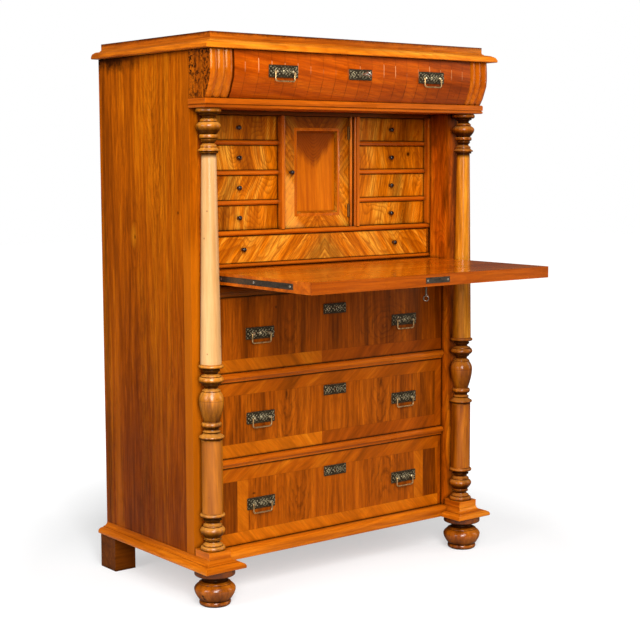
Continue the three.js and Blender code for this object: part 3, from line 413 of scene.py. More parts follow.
def finish_wood(name, colour_of, gloss=0.3, coat=0.1, reach=0.012, corner_shade=0.85, satin=0.14,
                level=0.35, round_work=False):
    """A polished wood, coloured by a function of the place. The coat of `round_work` fades at its edges."""
    material = bpy.data.materials.new(name)
    material.use_nodes = True
    tree = material.node_tree
    shader = tree.nodes["Principled BSDF"]
    where, xyz = places(tree)
    colour, figure = colour_of(tree, xyz)
    age = use_group(tree, polish_age_shade, Vector=where, Gloss=gloss, Reach=reach)
    drifted = darken(tree, colour, times(tree, age["Drift"], 0.45), 0.63)
    # Painted shade in corners and in the gaps between parts
    corner_shaded = darken(tree, drifted, times(tree, age["Corner shade"], corner_shade), 0.06)
    if round_work:
        turning_away = add(tree, "ShaderNodeLayerWeight", {"Blend": 0.4}).outputs["Facing"]
        groove = add(tree, "ShaderNodeAttribute", attribute_name="hollow").outputs["Fac"]
        open_wood = spread(tree, groove, 0.05, 0.4, 1.0, 0.1)
        coated = times(tree, spread(tree, turning_away, 0.0, 0.6, coat, 0.0), open_wood)
        tree.links.new(coated, shader.inputs["Coat Weight"])
    tree.links.new(corner_shaded, shader.inputs["Base Color"])
    scratched = plus(tree, age["Roughness"], times(tree, age["Scratches"], 0.08))
    tree.links.new(scratched, shader.inputs["Roughness"])
    shader.inputs["Coat Weight"].default_value = coat
    shader.inputs["Coat Roughness"].default_value = satin
    shader.inputs["Coat Tint"].default_value = COAT_TINT
    shader.inputs["Specular IOR Level"].default_value = level
    shader.inputs["Specular Tint"].default_value = POLISH_TINT
    height = plus(tree, figure["Fibre"], times(tree, figure["Pores"], -1.2))
    relief = add(tree, "ShaderNodeBump", {"Strength": 0.12, "Distance": 0.0002, "Height": height})
    tree.links.new(relief.outputs[0], shader.inputs["Normal"])
    return material


# The looks: tones from dark to light, streaks per metre across the grain, and how strongly each part shows
LOOKS = {
    "side": dict(dark=tone(120, 52, 0), middle=tone(196, 95, 1), light=tone(224, 128, 10), scale=74.0,
                 stretch=0.035, warp=0.035, rings=30.0, lines=0.45, fibre=0.7),
    "board": dict(dark=tone(146, 64, 3), middle=tone(222, 118, 14), light=tone(244, 152, 36), scale=50.0,
                  stretch=0.05, warp=0.015, rings=24.0, lines=0.35, fibre=0.4),
    "cornice": dict(dark=tone(140, 58, 3), middle=tone(236, 128, 16), light=tone(255, 176, 56), scale=50.0,
                    stretch=0.05, warp=0.015, rings=24.0, lines=0.45, fibre=0.45),
    "bead": dict(dark=tone(150, 66, 4), middle=tone(206, 104, 14), light=tone(232, 132, 36), scale=64.0,
                 stretch=0.04, warp=0.01, rings=20.0, lines=0.25, fibre=0.3),
    "rail": dict(dark=tone(134, 56, 4), middle=tone(200, 96, 8), light=tone(222, 118, 18), scale=64.0,
                 stretch=0.04, warp=0.01, rings=20.0, lines=0.3, fibre=0.35),
    "flap": dict(dark=tone(146, 64, 2), middle=tone(210, 102, 8), light=tone(240, 136, 22), scale=36.0,
                 stretch=0.05, warp=0.03, rings=30.0, lines=0.55, fibre=0.35),
    "frieze": dict(dark=tone(134, 48, 0), middle=tone(200, 84, 2), light=tone(224, 108, 8), scale=60.0,
                   stretch=0.06, warp=0.03, rings=26.0, lines=0.45, fibre=0.5),
    "drawer": dict(dark=tone(104, 42, 0), middle=tone(178, 82, 3), light=tone(214, 108, 9), scale=82.0,
                   stretch=0.05, warp=0.04, rings=22.0, lines=0.4, fibre=0.55),
    "band": dict(dark=tone(158, 78, 3), middle=tone(206, 104, 6), light=tone(230, 132, 18), scale=50.0,
                 stretch=0.12, warp=0.04, rings=20.0, lines=0.35, fibre=0.4),
    "top_band": dict(dark=tone(126, 56, 1), middle=tone(182, 84, 3), light=tone(216, 116, 12), scale=44.0,
                     stretch=0.12, warp=0.05, rings=20.0, lines=0.35, fibre=0.4),
    "red_band": dict(dark=tone(120, 50, 1), middle=tone(172, 76, 3), light=tone(196, 94, 6), scale=50.0,
                     stretch=0.12, warp=0.04, rings=20.0, lines=0.3, fibre=0.4),
    "flame": dict(dark=tone(134, 56, 0), middle=tone(230, 126, 8), light=tone(254, 180, 56), scale=46.0,
                  stretch=0.12, warp=0.06, rings=52.0, lines=0.75, fibre=0.75),
    "panel": dict(dark=tone(172, 80, 2), middle=tone(214, 112, 5), light=tone(230, 132, 16), scale=54.0,
                  stretch=0.06, warp=0.02, rings=16.0, lines=0.3, fibre=0.35),
    "inner": dict(dark=tone(140, 88, 38), middle=tone(188, 132, 70), light=tone(206, 156, 94), scale=30.0,
                  stretch=0.05, warp=0.01, rings=20.0, lines=0.3, fibre=0.3),
    "post": dict(dark=tone(100, 40, 0), middle=tone(200, 90, 5), light=tone(236, 132, 18), scale=40.0,
                 stretch=0.16, warp=0.06, rings=30.0, lines=0.6, fibre=0.5),
    "pale": dict(dark=tone(188, 134, 74), middle=tone(220, 173, 118), light=tone(236, 198, 150), scale=40.0,
                 stretch=0.05, warp=0.01, rings=12.0, lines=0.15, fibre=0.3, pores=0.15),
    "amber": dict(dark=tone(108, 54, 0), middle=tone(210, 128, 20), light=tone(244, 168, 54), scale=50.0,
                  stretch=0.07, warp=0.02, rings=16.0, lines=0.4, fibre=0.45, pores=0.2),
    "honey": dict(dark=tone(136, 70, 2), middle=tone(204, 122, 18), light=tone(230, 156, 48), scale=30.0,
                  stretch=0.05, warp=0.03, rings=14.0, lines=0.45, fibre=0.4, pores=0.15),
    "russet": dict(dark=tone(92, 40, 0), middle=tone(168, 88, 7), light=tone(208, 122, 20), scale=50.0,
                   stretch=0.07, warp=0.02, rings=16.0, lines=0.35, fibre=0.4, pores=0.2),
    "foot": dict(dark=tone(92, 40, 1), middle=tone(174, 92, 11), light=tone(216, 128, 32), scale=40.0,
                 stretch=0.1, warp=0.02, rings=14.0, lines=0.3, fibre=0.3),
    "plain": dict(dark=tone(56, 24, 2), middle=tone(100, 46, 5), light=tone(128, 64, 10), scale=34.0,
                  stretch=0.06, warp=0.02, rings=20.0, lines=0.35, fibre=0.4),
}
print(len(LOOKS), "looks")

# %% [markdown]
# ## Boards and mouldings
#
# A moulding that turns a corner is two lengths of wood cut at 45 degrees, so its grain turns too. The
# normal of the surface tells which length a point belongs to: where it looks sideways, the grain runs from
# front to back. The side of the case is one wide board with crowns near its top, a pale knot below them,
# dark heartwood down its middle, and a water stain under the cornice.

# %% Materials of the case
SIDE_INNER = 0.431
POST_DEPTH = 0.013
STAIN = ((0.12, 0.30), (1.372, 1.402))
SIDE_CROWNS = [
    dict(centre=(0.150, 1.215), Steepness=2.4, Round=0.012, Lines=26.0, Width=0.075, Height=0.16),
    dict(centre=(0.130, 1.02), Steepness=4.5, Round=0.02, Lines=16.0, Width=0.06, Height=0.22),
]
SIDE_OVALS = [
    dict(centre=(0.240, 0.90), Steepness=3.4, Lines=26.0, Width=0.06, Height=0.16),
    dict(centre=(0.210, 0.55), Steepness=6.0, Lines=12.0, Width=0.055, Height=0.26),
    dict(centre=(0.195, 0.27), Steepness=6.0, Lines=12.0, Width=0.055, Height=0.24),
]


PALE_KNOT = dict(centre=(0.246, 0.905), radius=0.018, length=2.2)
DARK_KNOTS = (((0.0346, 0.9688), 0.005, 1.2), ((0.2401, 0.9015), 0.005, 1.6))


def moulding_colour(look, worn_and_lit=False):
    def colour(tree, xyz):
        normal = add(tree, "ShaderNodeTexCoord").outputs["Normal"]
        facing_to = add(tree, "ShaderNodeSeparateXYZ", {0: normal}).outputs
        to_side = minus(tree, calc(tree, "ABSOLUTE", facing_to[0]), 0.1)
        sideways = calc(tree, "GREATER_THAN", to_side, calc(tree, "ABSOLUTE", facing_to[1]))
        front, figure = timber(tree, turned(tree, xyz, "X"), LOOKS[look], 0.3)
        end, _ = timber(tree, turned(tree, xyz, "Y"), LOOKS[look], 1.9)
        whole = blend(tree, sideways, front, end)
        if worn_and_lit:
            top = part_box("top_board")[1].z
            rough = noise(tree, combine(tree, *xyz), 120.0, 4.0, 0.7)[0]
            edge = spread(tree, plus(tree, xyz[2], times(tree, rough, 0.012)), top - 0.002, top + 0.005)
            whole = darken(tree, whole, edge, 0.22)
            band = spread(tree, xyz[2], top - 0.022, top - 0.014)
            whole = darken(tree, whole, times(tree, band, 0.75), 0.62)
        return whole, figure
    return colour


def plain_colour(look, grain="Z", seed=0.0):
    def colour(tree, xyz):
        return timber(tree, turned(tree, xyz, grain), LOOKS[look], seed)
    return colour


def shaded_colour(tree, xyz):
    """Painted shade: the rail under the flap and the strip above the gallery, as a darker copy of the rail."""
    wood, figure = timber(tree, turned(tree, xyz, "X"), LOOKS["rail"], 4.2)
    return darken(tree, wood, 0.9, 0.2), figure


def flap_colour(tree, xyz):
    """The flap, whose long front edge is a redder strip glued on."""
    wood, figure = timber(tree, turned(tree, xyz, "X"), LOOKS["flap"], 2.2)
    lipping, _ = timber(tree, turned(tree, xyz, "X"), LOOKS["rail"], 6.6)
    at_edge = calc(tree, "LESS_THAN", xyz[1], front_of("fall_front") + 0.004)
    return blend(tree, at_edge, wood, darken(tree, lipping, 0.6, 0.55)), figure


def side_colour(tree, xyz):
    """The outer panel of the case, and the post that is glued to its front edge."""
    x, y, z = xyz
    panel, figure = timber(tree, turned(tree, xyz), LOOKS["side"], 0.8)
    for shape in SIDE_CROWNS:
        lines = crown(tree, y, z, **shape)
        panel = darken(tree, panel, times(tree, lines, 0.75), 0.30)
    for shape in SIDE_OVALS:
        lines = crown(tree, y, z, Along=0.0, Closed=1.0, Round=0.0, **shape)
        panel = darken(tree, panel, times(tree, lines, 0.55), 0.30)
    # Painted shade: the panel darkens towards the bottom, as the light falls off lower down
    low = spread(tree, z, 0.25, 1.0, 1.0, 0.0)
    heart = times(tree, hump(tree, y, 0.225, 0.13), spread(tree, z, 0.6, 1.0, 1.0, 0.0))
    panel = darken(tree, panel, times(tree, low, 0.9), 0.46)
    panel = darken(tree, panel, times(tree, heart, 0.6), 0.55)
    panel = blend(tree, times(tree, hump(tree, y, 0.343, 0.022), low, 0.5), panel, tone(190, 100, 12))
    panel = darken(tree, panel, times(tree, hump(tree, y, 0.392, 0.016), 0.6), 0.19)
    patches = noise(tree, combine(tree, x, y, z), 30.0, 5.0, 0.7)[0]
    reached = plus(tree, z, times(tree, patches, 0.1))
    stain = times(tree, spread(tree, reached, *STAIN[1]), spread(tree, y, *STAIN[0]))
    panel = darken(tree, panel, times(tree, stain, 0.95), 0.06)
    pale_knot = times(tree, spot(tree, y, z, **PALE_KNOT), 0.4)
    panel = blend(tree, pale_knot, panel, tone(230, 140, 20))
    for centre, radius, length in DARK_KNOTS:
        panel = darken(tree, panel, times(tree, spot(tree, y, z, centre, radius, length), 0.85), 0.10)
    edge = times(tree, calc(tree, "LESS_THAN", y, POST_DEPTH), spread(tree, z, 0.86, 0.93, 1.0, 0.25))
    panel = blend(tree, times(tree, edge, 0.6), panel, tone(206, 110, 12))
    post, _ = timber(tree, turned(tree, xyz), LOOKS["post"], 2.4)
    # Painted shade at the top of the post, under the frieze shelf
    post = darken(tree, post, spread(tree, z, 1.1, 1.2, 0.0, 0.7), 0.25)
    inner = calc(tree, "LESS_THAN", calc(tree, "ABSOLUTE", x), SIDE_INNER)
    return blend(tree, inner, panel, post), figure


MATERIALS = {
    "cornice": finish_wood("cornice", moulding_colour("cornice", True), 0.34, 0.08),
    "shelf": finish_wood("frieze_shelf", moulding_colour("rail"), 0.3, 0.15),
    "base": finish_wood("base", moulding_colour("board"), 0.32, 0.12),
    "side": finish_wood("side", side_colour, 0.38, 0.0, level=0.08),
    "rail": finish_wood("rail", plain_colour("rail", "X"), 0.28, 0.04, 0.02, 0.95),
    "shaded": finish_wood("shaded_rail", shaded_colour, 0.4, 0.0, 0.02, 0.95),
    "back": finish_wood("back", plain_colour("plain", "Z", 3.0), 0.6, 0.0),
    # The rear feet are darker than their wood: painted shade under the base
    "foot_block": finish_wood("foot_block", plain_colour("plain", "X", 5.0), 0.45, 0.0, level=0.15),
}
print(len(MATERIALS), "materials so far")

# %% [markdown]
# ## The cushion frieze
#
# The swelling front is covered with upright strips of veneer laid side by side. Their joints have lifted
# with age: near the top each shows a short pale stroke, a painted highlight, and further down a short dark
# one, painted shade, and fine level cracks cross them. Each strip gets its own shade from its number. The
# lower part of the cushion, which turns away from the light, is darkened with painted shade, and the front
# grows darker towards the right. The ends of the frieze blocks are burr veneer, full of small curled specks.

# %% Material of the frieze
STRIP = 0.0397
CASE_HALF = 0.455
FRIEZE_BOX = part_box("frieze_drawer")


def with_box(tree, xyz, front, back_of_front, seed):
    """The figured front of a drawer, and behind it the plain, paler wood of its box."""
    box_wood, _ = timber(tree, turned(tree, xyz, "Y"), LOOKS["inner"], seed)
    return blend(tree, calc(tree, "GREATER_THAN", xyz[1], back_of_front), front, box_wood)


def frieze_colour(tree, xyz):
    x, y, z = xyz
    strip_at = calc(tree, "DIVIDE", x, STRIP)
    strip = calc(tree, "FLOOR", strip_at)
    shade = add(tree, "ShaderNodeTexWhiteNoise", {"W": strip}, noise_dimensions="1D").outputs[0]
    colour, figure = timber(tree, turned(tree, xyz, "X", angle=6.0), LOOKS["frieze"], 0.6)
    colour = darken(tree, colour, times(tree, shade, 0.4), 0.67)
    across = calc(tree, "FRACT", strip_at)
    edge = times(tree, calc(tree, "MINIMUM", across, minus(tree, 1.0, across)), STRIP)
    height = (FRIEZE_BOX[1].z - FRIEZE_BOX[0].z)
    level_at = spread(tree, z, FRIEZE_BOX[0].z, FRIEZE_BOX[1].z)
    jitter = add(
        tree, "ShaderNodeTexWhiteNoise", {"W": calc(tree, "ROUND", strip_at)}, noise_dimensions="1D",
    ).outputs[0]
    moved_level = plus(tree, level_at, times(tree, jitter, 0.08))
    end = plus(tree, 0.66, times(tree, jitter, 0.28))
    # Painted highlight: a pale stroke at each lifted joint near the top of the cushion
    pale = times(
        tree, spread(tree, edge, 0.0006, 0.0019, 1.0, 0.0), spread(tree, level_at, 0.52, 0.62),
        calc(tree, "LESS_THAN", moved_level, end), spread(tree, jitter, 0.0, 1.0, 0.25, 1.0),
    )
    # Painted shade: a dark stroke at each lifted joint further down
    dark = times(
        tree, spread(tree, edge, 0.0005, 0.0015, 1.0, 0.0), spread(tree, moved_level, 0.1, 0.2),
        spread(tree, moved_level, 0.36, 0.52, 1.0, 0.0), spread(tree, x, -0.38, 0.2, 0.25, 0.9),
        spread(tree, jitter, 0.0, 1.0, 1.0, 0.4),
    )
    faint = spread(tree, edge, 0.0004, 0.0014, 0.35, 0.0)
    colour = darken(tree, colour, faint, 0.19)
    colour = blend(tree, times(tree, pale, plus(tree, 0.35, times(tree, shade, 0.5))),
                   colour, tone(246, 168, 110))
    colour = blend(tree, times(tree, dark, 0.85), colour, tone(78, 26, 4))
    wander = times(tree, noise(tree, combine(tree, x, 0.0, 0.0), 14.0, 3.0)[0], 0.6)
    crack_at = calc(tree, "FRACT", plus(tree, times(tree, level_at, 7.0), wander))
    crack = times(tree, spread(tree, crack_at, 0.0, 0.09, 1.0, 0.0), spread(tree, x, -0.1, 0.1, 0.15, 0.5))
    colour = darken(tree, colour, crack, 0.26)
    # Painted shade: the lower part of the cushion, turned away from the light, is darker; the front also
    # darkens towards the right
    colour = darken(tree, colour, spread(tree, level_at, 0.0, 0.6, 0.7, 0.0), 0.52)
    colour = darken(tree, colour, spread(tree, x, 0.0, 0.38, 0.0, 0.6), 0.52)
    return with_box(tree, xyz, colour, front_of("frieze_drawer") + height * 0.45, 4.0), figure


def reed_colour(tree, xyz):
    x, y, z = xyz
    colour, figure = timber(tree, turned(tree, xyz, "Z"), LOOKS["flap"], 1.2)
    colour = darken(tree, colour, 0.5, 0.62)
    bent = add(
        tree, "ShaderNodeVectorMath",
        {0: turned(tree, xyz), 1: add(tree, "ShaderNodeVectorMath", {
            0: noise(tree, turned(tree, xyz), 60.0, 2.0)[1], 3: 0.012,
        }, operation="SCALE").outputs[0]}, operation="ADD",
    ).outputs[0]
    burr, _ = timber(tree, turned(tree, xyz, "Z"), LOOKS["side"], 7.0)
    specks = spread(tree, noise(tree, bent, 105.0, 3.0, 0.7)[0], 0.49, 0.54)
    thick = spread(tree, noise(tree, combine(tree, x, y, z), 24.0, 2.0)[0], 0.36, 0.56, 0.4, 1.0)
    burr = blend(tree, times(tree, specks, thick, 0.95), burr, tone(46, 16, 0))
    outer = calc(tree, "GREATER_THAN", calc(tree, "ABSOLUTE", x), CASE_HALF - 0.0004)
    return blend(tree, outer, colour, burr), figure


MATERIALS["frieze"] = finish_wood("frieze_veneer", frieze_colour, 0.3, 0.04)
MATERIALS["reeds"] = finish_wood("frieze_block", reed_colour, 0.24, 0.15, 0.01, 0.95)
print("frieze strips", round((FRIEZE_BOX[1].x - FRIEZE_BOX[0].x) / STRIP, 1))

# %% [markdown]
# ## Banded drawer fronts
#
# Each long drawer has a field of upright veneer with crowns, inside bands of lighter cross-grain. Masks
# made from the distance to each edge pick the band, and a thin dark line marks the joint. The lowest front
# also has a dark leaf near each end. Behind its front a drawer is plain, paler wood.

# %% Materials of the long drawers
BAND_SWITCH = -0.0435
FRONT_THICKNESS = 0.012
ROUND_TOP = dict(Along=0.0, Closed=1.6, Round=0.0)
FRONTS = {
    "upper_drawer": dict(
        # shade: painted shade, for the shadow of the flap above
        bands=[("bottom", 0.034)], leaf=None, flip=True, shade=0.35, ends=0.5,
        crowns=[dict(centre=(0.176, 0.652), Steepness=1.3, Lines=40.0, Width=0.13, Height=0.08, **ROUND_TOP),
                dict(centre=(-0.150, 0.618), Steepness=3.0, Round=0.03, Lines=20.0, Width=0.05, Height=0.12)],
        knots=[((-0.1926, 0.7235), 0.0042, 1.0), ((0.1938, 0.7256), 0.0036, 1.0)],
    ),
    "middle_drawer": dict(
        bands=[("top", 0.034), ("bottom", 0.036), ("left", 0.014), ("right", 0.026)], leaf=None,
        flip=True, shade=0.0, ends=1.0,
        crowns=[
            dict(centre=centre, Steepness=3.4, Round=0.035, Lines=21.0, Width=0.056, Height=0.14)
            for centre in ((-0.158, 0.415), (0.1625, 0.417))
        ],
        knots=[((-0.160, 0.495), 0.0055, 3.2), ((0.162, 0.495), 0.0055, 3.2)],
    ),
    "lower_drawer": dict(
        bands=[("top", 0.036), ("bottom", 0.034), ("left", 0.013), ("right", 0.013)],
        leaf=(0.318, 0.366), flip=False, shade=0.0, ends=0.5,
        crowns=[dict(centre=(-0.120, 0.175), Steepness=3.6, Round=0.03, Lines=20.0, Width=0.06, Height=0.16),
                dict(centre=(0.178, 0.262), opening=-1, Steepness=2.6, Round=0.03, Lines=22.0, Width=0.07,
                     Height=0.14)],
        knots=[((-0.2661, 0.2485), 0.007, 0.55)],
    ),
}


def front_colour(node, plan, seed):
    low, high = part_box(node)

    def colour(tree, xyz):
        x, y, z = xyz
        away = calc(tree, "ABSOLUTE", x)
        face, figure = timber(tree, turned(tree, xyz, mirror=0.002), LOOKS["drawer"], seed)
        pins = combine(tree, away, 0.0, times(tree, z, 0.06))
        pinned = spread(tree, noise(tree, pins, 105.0, 2.0, 0.6)[0], 0.46, 0.6)
        ends = times(tree, spread(tree, away, 0.2, 0.27), pinned, plan["ends"] * 0.6)
        face = darken(tree, face, ends, 0.24)
        for shape in plan["crowns"]:
            lines = crown(tree, x, z, **shape)
            face = darken(tree, face, times(tree, lines, 0.95), 0.16)
        for centre, radius, length in plan["knots"]:
            face = darken(tree, face, times(tree, spot(tree, x, z, centre, radius, length), 0.85), 0.08)
        light, _ = timber(tree, turned(tree, xyz, "Z", angle=-42.0), LOOKS["band"], seed + 0.4)
        red, _ = timber(tree, turned(tree, xyz, "Z", angle=42.0), LOOKS["red_band"], seed + 0.9)
        high_wood, _ = timber(tree, turned(tree, xyz, "Z", angle=52.0), LOOKS["top_band"], seed + 1.4)
        if plan["leaf"]:
            strip = inside(tree, away, plan["leaf"][0] - 0.034, plan["leaf"][0])
            face = blend(tree, times(tree, strip, 0.7), face, light)
            face = darken(tree, face, times(tree, inside(tree, away, *plan["leaf"]), 0.7), 0.36)
        measures = {
            "top": minus(tree, high.z, z), "bottom": minus(tree, z, low.z),
            "left": minus(tree, x, low.x), "right": minus(tree, high.x, x),
        }
        beyond = calc(tree, "GREATER_THAN", x, BAND_SWITCH)
        for edge, width in plan["bands"]:
            part = calc(tree, "LESS_THAN", measures[edge], width)
            wood = high_wood if edge == "top" else light
            if edge == "bottom" and plan["flip"]:
                wood = blend(tree, beyond, light, red)
            elif edge == "right":
                wood = red
            face = blend(tree, part, face, wood)
            seam = inside(tree, measures[edge], width - 0.0006, width + 0.0006)
            face = darken(tree, face, times(tree, seam, 0.35), 0.3)
        # Painted shade over the whole front, for the shadow of the flap
        if plan["shade"]:
            face = darken(tree, face, plan["shade"], 0.5)
        # Painted shade round the edges of the front, in the gaps to the rails
        nearest = calc(tree, "MINIMUM", calc(tree, "MINIMUM", measures["top"], measures["bottom"]),
                       calc(tree, "MINIMUM", measures["left"], measures["right"]))
        face = darken(tree, face, spread(tree, nearest, 0.001, 0.0045, 0.95, 0.0), 0.06)
        return with_box(tree, xyz, face, front_of(node) + FRONT_THICKNESS, seed + 5.0), figure
    return colour


for number, (node, plan) in enumerate(FRONTS.items()):
    MATERIALS[node] = finish_wood(node, front_colour(node, plan, 1.1 + number), 0.34, 0.0)
print("banded fronts:", ", ".join(FRONTS))

# %% [markdown]
# ## Flamed veneer of the gallery
#
# The little drawers show slanted, flame-like figure that differs from front to front: each has its own
# slant, its own dark band, and one has a knot. The wide drawer is matched about its middle, so its figure
# forms chevrons. One function makes them all.

# %% Materials of the gallery
KNOB_AND_FRONT = 0.02


def flame_colour(node, angle, seed, band=(0.0, 0.02, 0.0), mirror=None, shade=0.0, knot=None, stretch=None):
    look = dict(LOOKS["flame"])
    if stretch:
        look["stretch"] = stretch

    def colour(tree, xyz):
        x, y, z = xyz
        vector = turned(tree, xyz, "Z", angle, mirror)
        face, figure = timber(tree, vector, look, seed)
        sloped = add(tree, "ShaderNodeSeparateXYZ", {0: vector}).outputs[0]
        low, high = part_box(node)
        middle = Vector(((low.x + high.x) / 2 + band[0], 0.0, (low.z + high.z) / 2))
        if mirror is not None:
            middle.x = band[0]
        tilt = math.radians(angle)
        place_of_band = middle.x * math.cos(tilt) - middle.z * math.sin(tilt)
        face = darken(tree, face, times(tree, hump(tree, sloped, place_of_band, band[1]), band[2]), 0.30)
        if knot:
            rings = crown(
                tree, x, z, knot, Along=0.0, Closed=1.2, Steepness=1.0, Round=0.0, Lines=110.0, Width=0.04,
                Height=0.03,
            )
            face = darken(tree, face, times(tree, rings, 0.6), 0.26)
            face = darken(tree, face, spot(tree, x, z, knot, 0.009), 0.05)
        # Painted shade over the whole front
        if shade:
            face = darken(tree, face, shade, 0.30)
        # Painted shade round the edges of the front, where it meets the rails and dividers
        near_x = calc(tree, "MINIMUM", minus(tree, x, low.x), minus(tree, high.x, x))
        near_z = calc(tree, "MINIMUM", minus(tree, z, low.z), minus(tree, high.z, z))
        rim = spread(tree, calc(tree, "MINIMUM", near_x, near_z), 0.0008, 0.003, 0.9, 0.0)
        face = darken(tree, face, rim, 0.1)
        return with_box(tree, xyz, face, front_of(node) + KNOB_AND_FRONT, seed + 3.0), figure
    return colour


FLAMES = {
    # The top row gets painted shade, for the shadow of the frieze shelf above
    "left_small_drawer_1": dict(angle=4, seed=1.0, band=(0.05, 0.05, 0.5), shade=0.35),
    "left_small_drawer_2": dict(angle=-12, seed=2.3, band=(0.02, 0.03, 0.4)),
    "left_small_drawer_3": dict(angle=24, seed=3.1, band=(-0.03, 0.03, 0.7)),
    "left_small_drawer_4": dict(angle=6, seed=4.6, band=(-0.045, 0.03, 0.9)),
    "right_small_drawer_1": dict(angle=8, seed=5.2, band=(0.06, 0.05, 0.6), shade=0.35),
    "right_small_drawer_2": dict(angle=-8, seed=6.9, band=(0.04, 0.02, 0.3), knot=(0.3231, 1.113)),
    "right_small_drawer_3": dict(angle=12, seed=7.4, band=(0.03, 0.03, 0.7)),
    "right_small_drawer_4": dict(angle=10, seed=8.8, band=(0.055, 0.03, 0.8)),
}
for node, plan in FLAMES.items():
    MATERIALS[node] = finish_wood(node, flame_colour(node, **plan), 0.34, 0.0)
WIDE_MATCH = 0.013
MATERIALS["wide_drawer"] = finish_wood(
    "wide_drawer", flame_colour("wide_drawer", -40, 9.7, (0.01, 0.03, 0.75), WIDE_MATCH, stretch=0.1),
    0.34, 0.0,
)

DOOR_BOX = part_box("cupboard_door")
KNOB_REACH = 0.0133
DOOR_FACE = DOOR_BOX[0].y + KNOB_REACH
PANEL_HALF = 0.0677
PANEL_BORDER = 0.038


def door_colour(tree, xyz):
    """The mitred frame of the door and its panel, with a feather of dark figure hanging in its upper half."""
    x, y, z = xyz
    low, high = DOOR_BOX
    middle = (low.z + high.z) / 2
    half_z = (high.z - low.z) / 2 - PANEL_BORDER
    from_x = minus(tree, calc(tree, "ABSOLUTE", x), PANEL_HALF)
    level = calc(tree, "ABSOLUTE", minus(tree, z, middle))
    from_z = minus(tree, level, half_z)
    outward = calc(tree, "MAXIMUM", from_x, from_z)
    panel, figure = timber(tree, turned(tree, xyz, "Z", -2), LOOKS["panel"], 11.3)
    ragged = times(tree, noise(tree, combine(tree, x, 0.0, times(tree, z, 0.2)), 60.0, 3.0)[0], 0.05)
    sideways = plus(tree, x, 0.007)
    left, right = times(tree, sideways, -0.7), times(tree, sideways, 1.1)
    edge = plus(tree, calc(tree, "MAXIMUM", left, right), ragged)
    feather = spread(tree, minus(tree, z, edge), middle - 0.022, middle + 0.004)
    rays = crown(
        tree, x, z, (-0.007, middle - 0.02), Steepness=1.25, Round=0.012, Lines=105.0, Width=0.16, Height=0.3,
    )
    panel = blend(tree, times(tree, feather, 0.9), panel, tone(142, 60, 2))
    panel = darken(tree, panel, times(tree, feather, rays, 0.9), 0.25)
    # Painted shade at the top of the panel, under the shelf
    panel = darken(tree, panel, spread(tree, z, middle + 0.06, middle + 0.11, 0.0, 0.45), 0.4)
    quarter = (calc(tree, "ABSOLUTE", x), y, level)
    around, _ = timber(tree, turned(tree, quarter, "Z", 38), LOOKS["flame"], 12.2)
    around = darken(tree, around, spread(tree, z, middle - 0.03, middle + 0.02, 0.0, 0.6), 0.5)
    # Painted shade at the top of the frame, under the shelf
    around = darken(tree, around, spread(tree, z, middle + 0.08, middle + 0.13, 0.0, 0.7), 0.35)
    stile = times(tree, calc(tree, "GREATER_THAN", from_x, from_z), calc(tree, "LESS_THAN", x, 0.0))
    leaning = plus(tree, z, x)
    corner = times(tree, minus(tree, 1.0, stile), spread(tree, leaning, low.z - 0.055, low.z - 0.035, 1.0, 0.0))
    joint = times(tree, stile, spread(tree, leaning, middle - 0.115, middle - 0.1, 1.0, 0.0))
    below = plus(tree, joint, corner)
    around = blend(tree, times(tree, below, 0.45), around, tone(250, 170, 74))
    seam = inside(tree, minus(tree, from_x, from_z), -0.0006, 0.0006)
    around = darken(tree, around, times(tree, seam, 0.7), 0.13)
    colour = blend(tree, calc(tree, "GREATER_THAN", outward, -0.0045), panel, around)
    # Painted shade in the recess where the panel meets the frame
    step = inside(tree, outward, -0.0055, 0.0006)
    colour = blend(tree, times(tree, step, 0.5), colour, tone(96, 34, 2))
    proud = calc(tree, "LESS_THAN", y, DOOR_FACE - 0.0006)
    knuckle = times(tree, proud, calc(tree, "GREATER_THAN", x, 0.1025))
    return blend(tree, knuckle, colour, tone(104, 74, 42)), figure


RACK_SIDES = (0.1306, 0.3818)


def rack_colour(tree, xyz):
    """Upright grain in the boards at the sides, level grain in the rails between them."""
    x, y, z = xyz
    upright_wood, figure = timber(tree, turned(tree, xyz, "Z"), LOOKS["board"], 0.2)
    level_wood, _ = timber(tree, turned(tree, xyz, "X"), LOOKS["rail"], 0.9)
    between = inside(tree, calc(tree, "ABSOLUTE", x), *RACK_SIDES)
    return blend(tree, between, upright_wood, level_wood), figure


MATERIALS["door"] = finish_wood("cupboard_door", door_colour, 0.34, 0.0)
MATERIALS["door_bead"] = finish_wood("door_bead", plain_colour("bead", "Z", 6.0), 0.24, 0.35)
MATERIALS["rack"] = finish_wood("drawer_rack", rack_colour, 0.26, 0.45, 0.012, 0.97, 0.25)
MATERIALS["flap"] = finish_wood("flap", flap_colour, 0.26, 0.6, satin=0.1)
print(len(MATERIALS), "materials so far")

# %% [markdown]
# ## Turned wood
#
# The shafts of the columns have lost colour, while their rings and vases keep a deeper amber. A mask from
# the height picks them, with the joints hidden in grooves. The left column is paler than the right one.
# Each ring of the mesh carries a value that tells how far the forms above overhang it: painted shade lies
# there and where a ring looks downwards, and where a ring looks freely upwards, paler painted light lies on
# it. More painted shade darkens the side towards the case, the lower part of each column and the top of
# each foot.

# %% Materials of the turned pieces
SHAFT = (0.6022, 1.1105)
LOWER_SHAFT = (0.232, 0.412)
VASE_LINE = 0.5115
PLINTH_HALF = 0.032
COLUMN_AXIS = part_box("left_column")[0].y + PLINTH_HALF
FOOT_AXIS = sum(corner.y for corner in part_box("left_front_foot")) / 2
FOOT_NECK = (0.066, 0.076)
NAIL_HOLES = ((-0.0783, 0.0315), (-0.0783, 0.0241))
NAIL_HOLE_RADIUS = 0.0052
OUTER_SIDE = -0.45


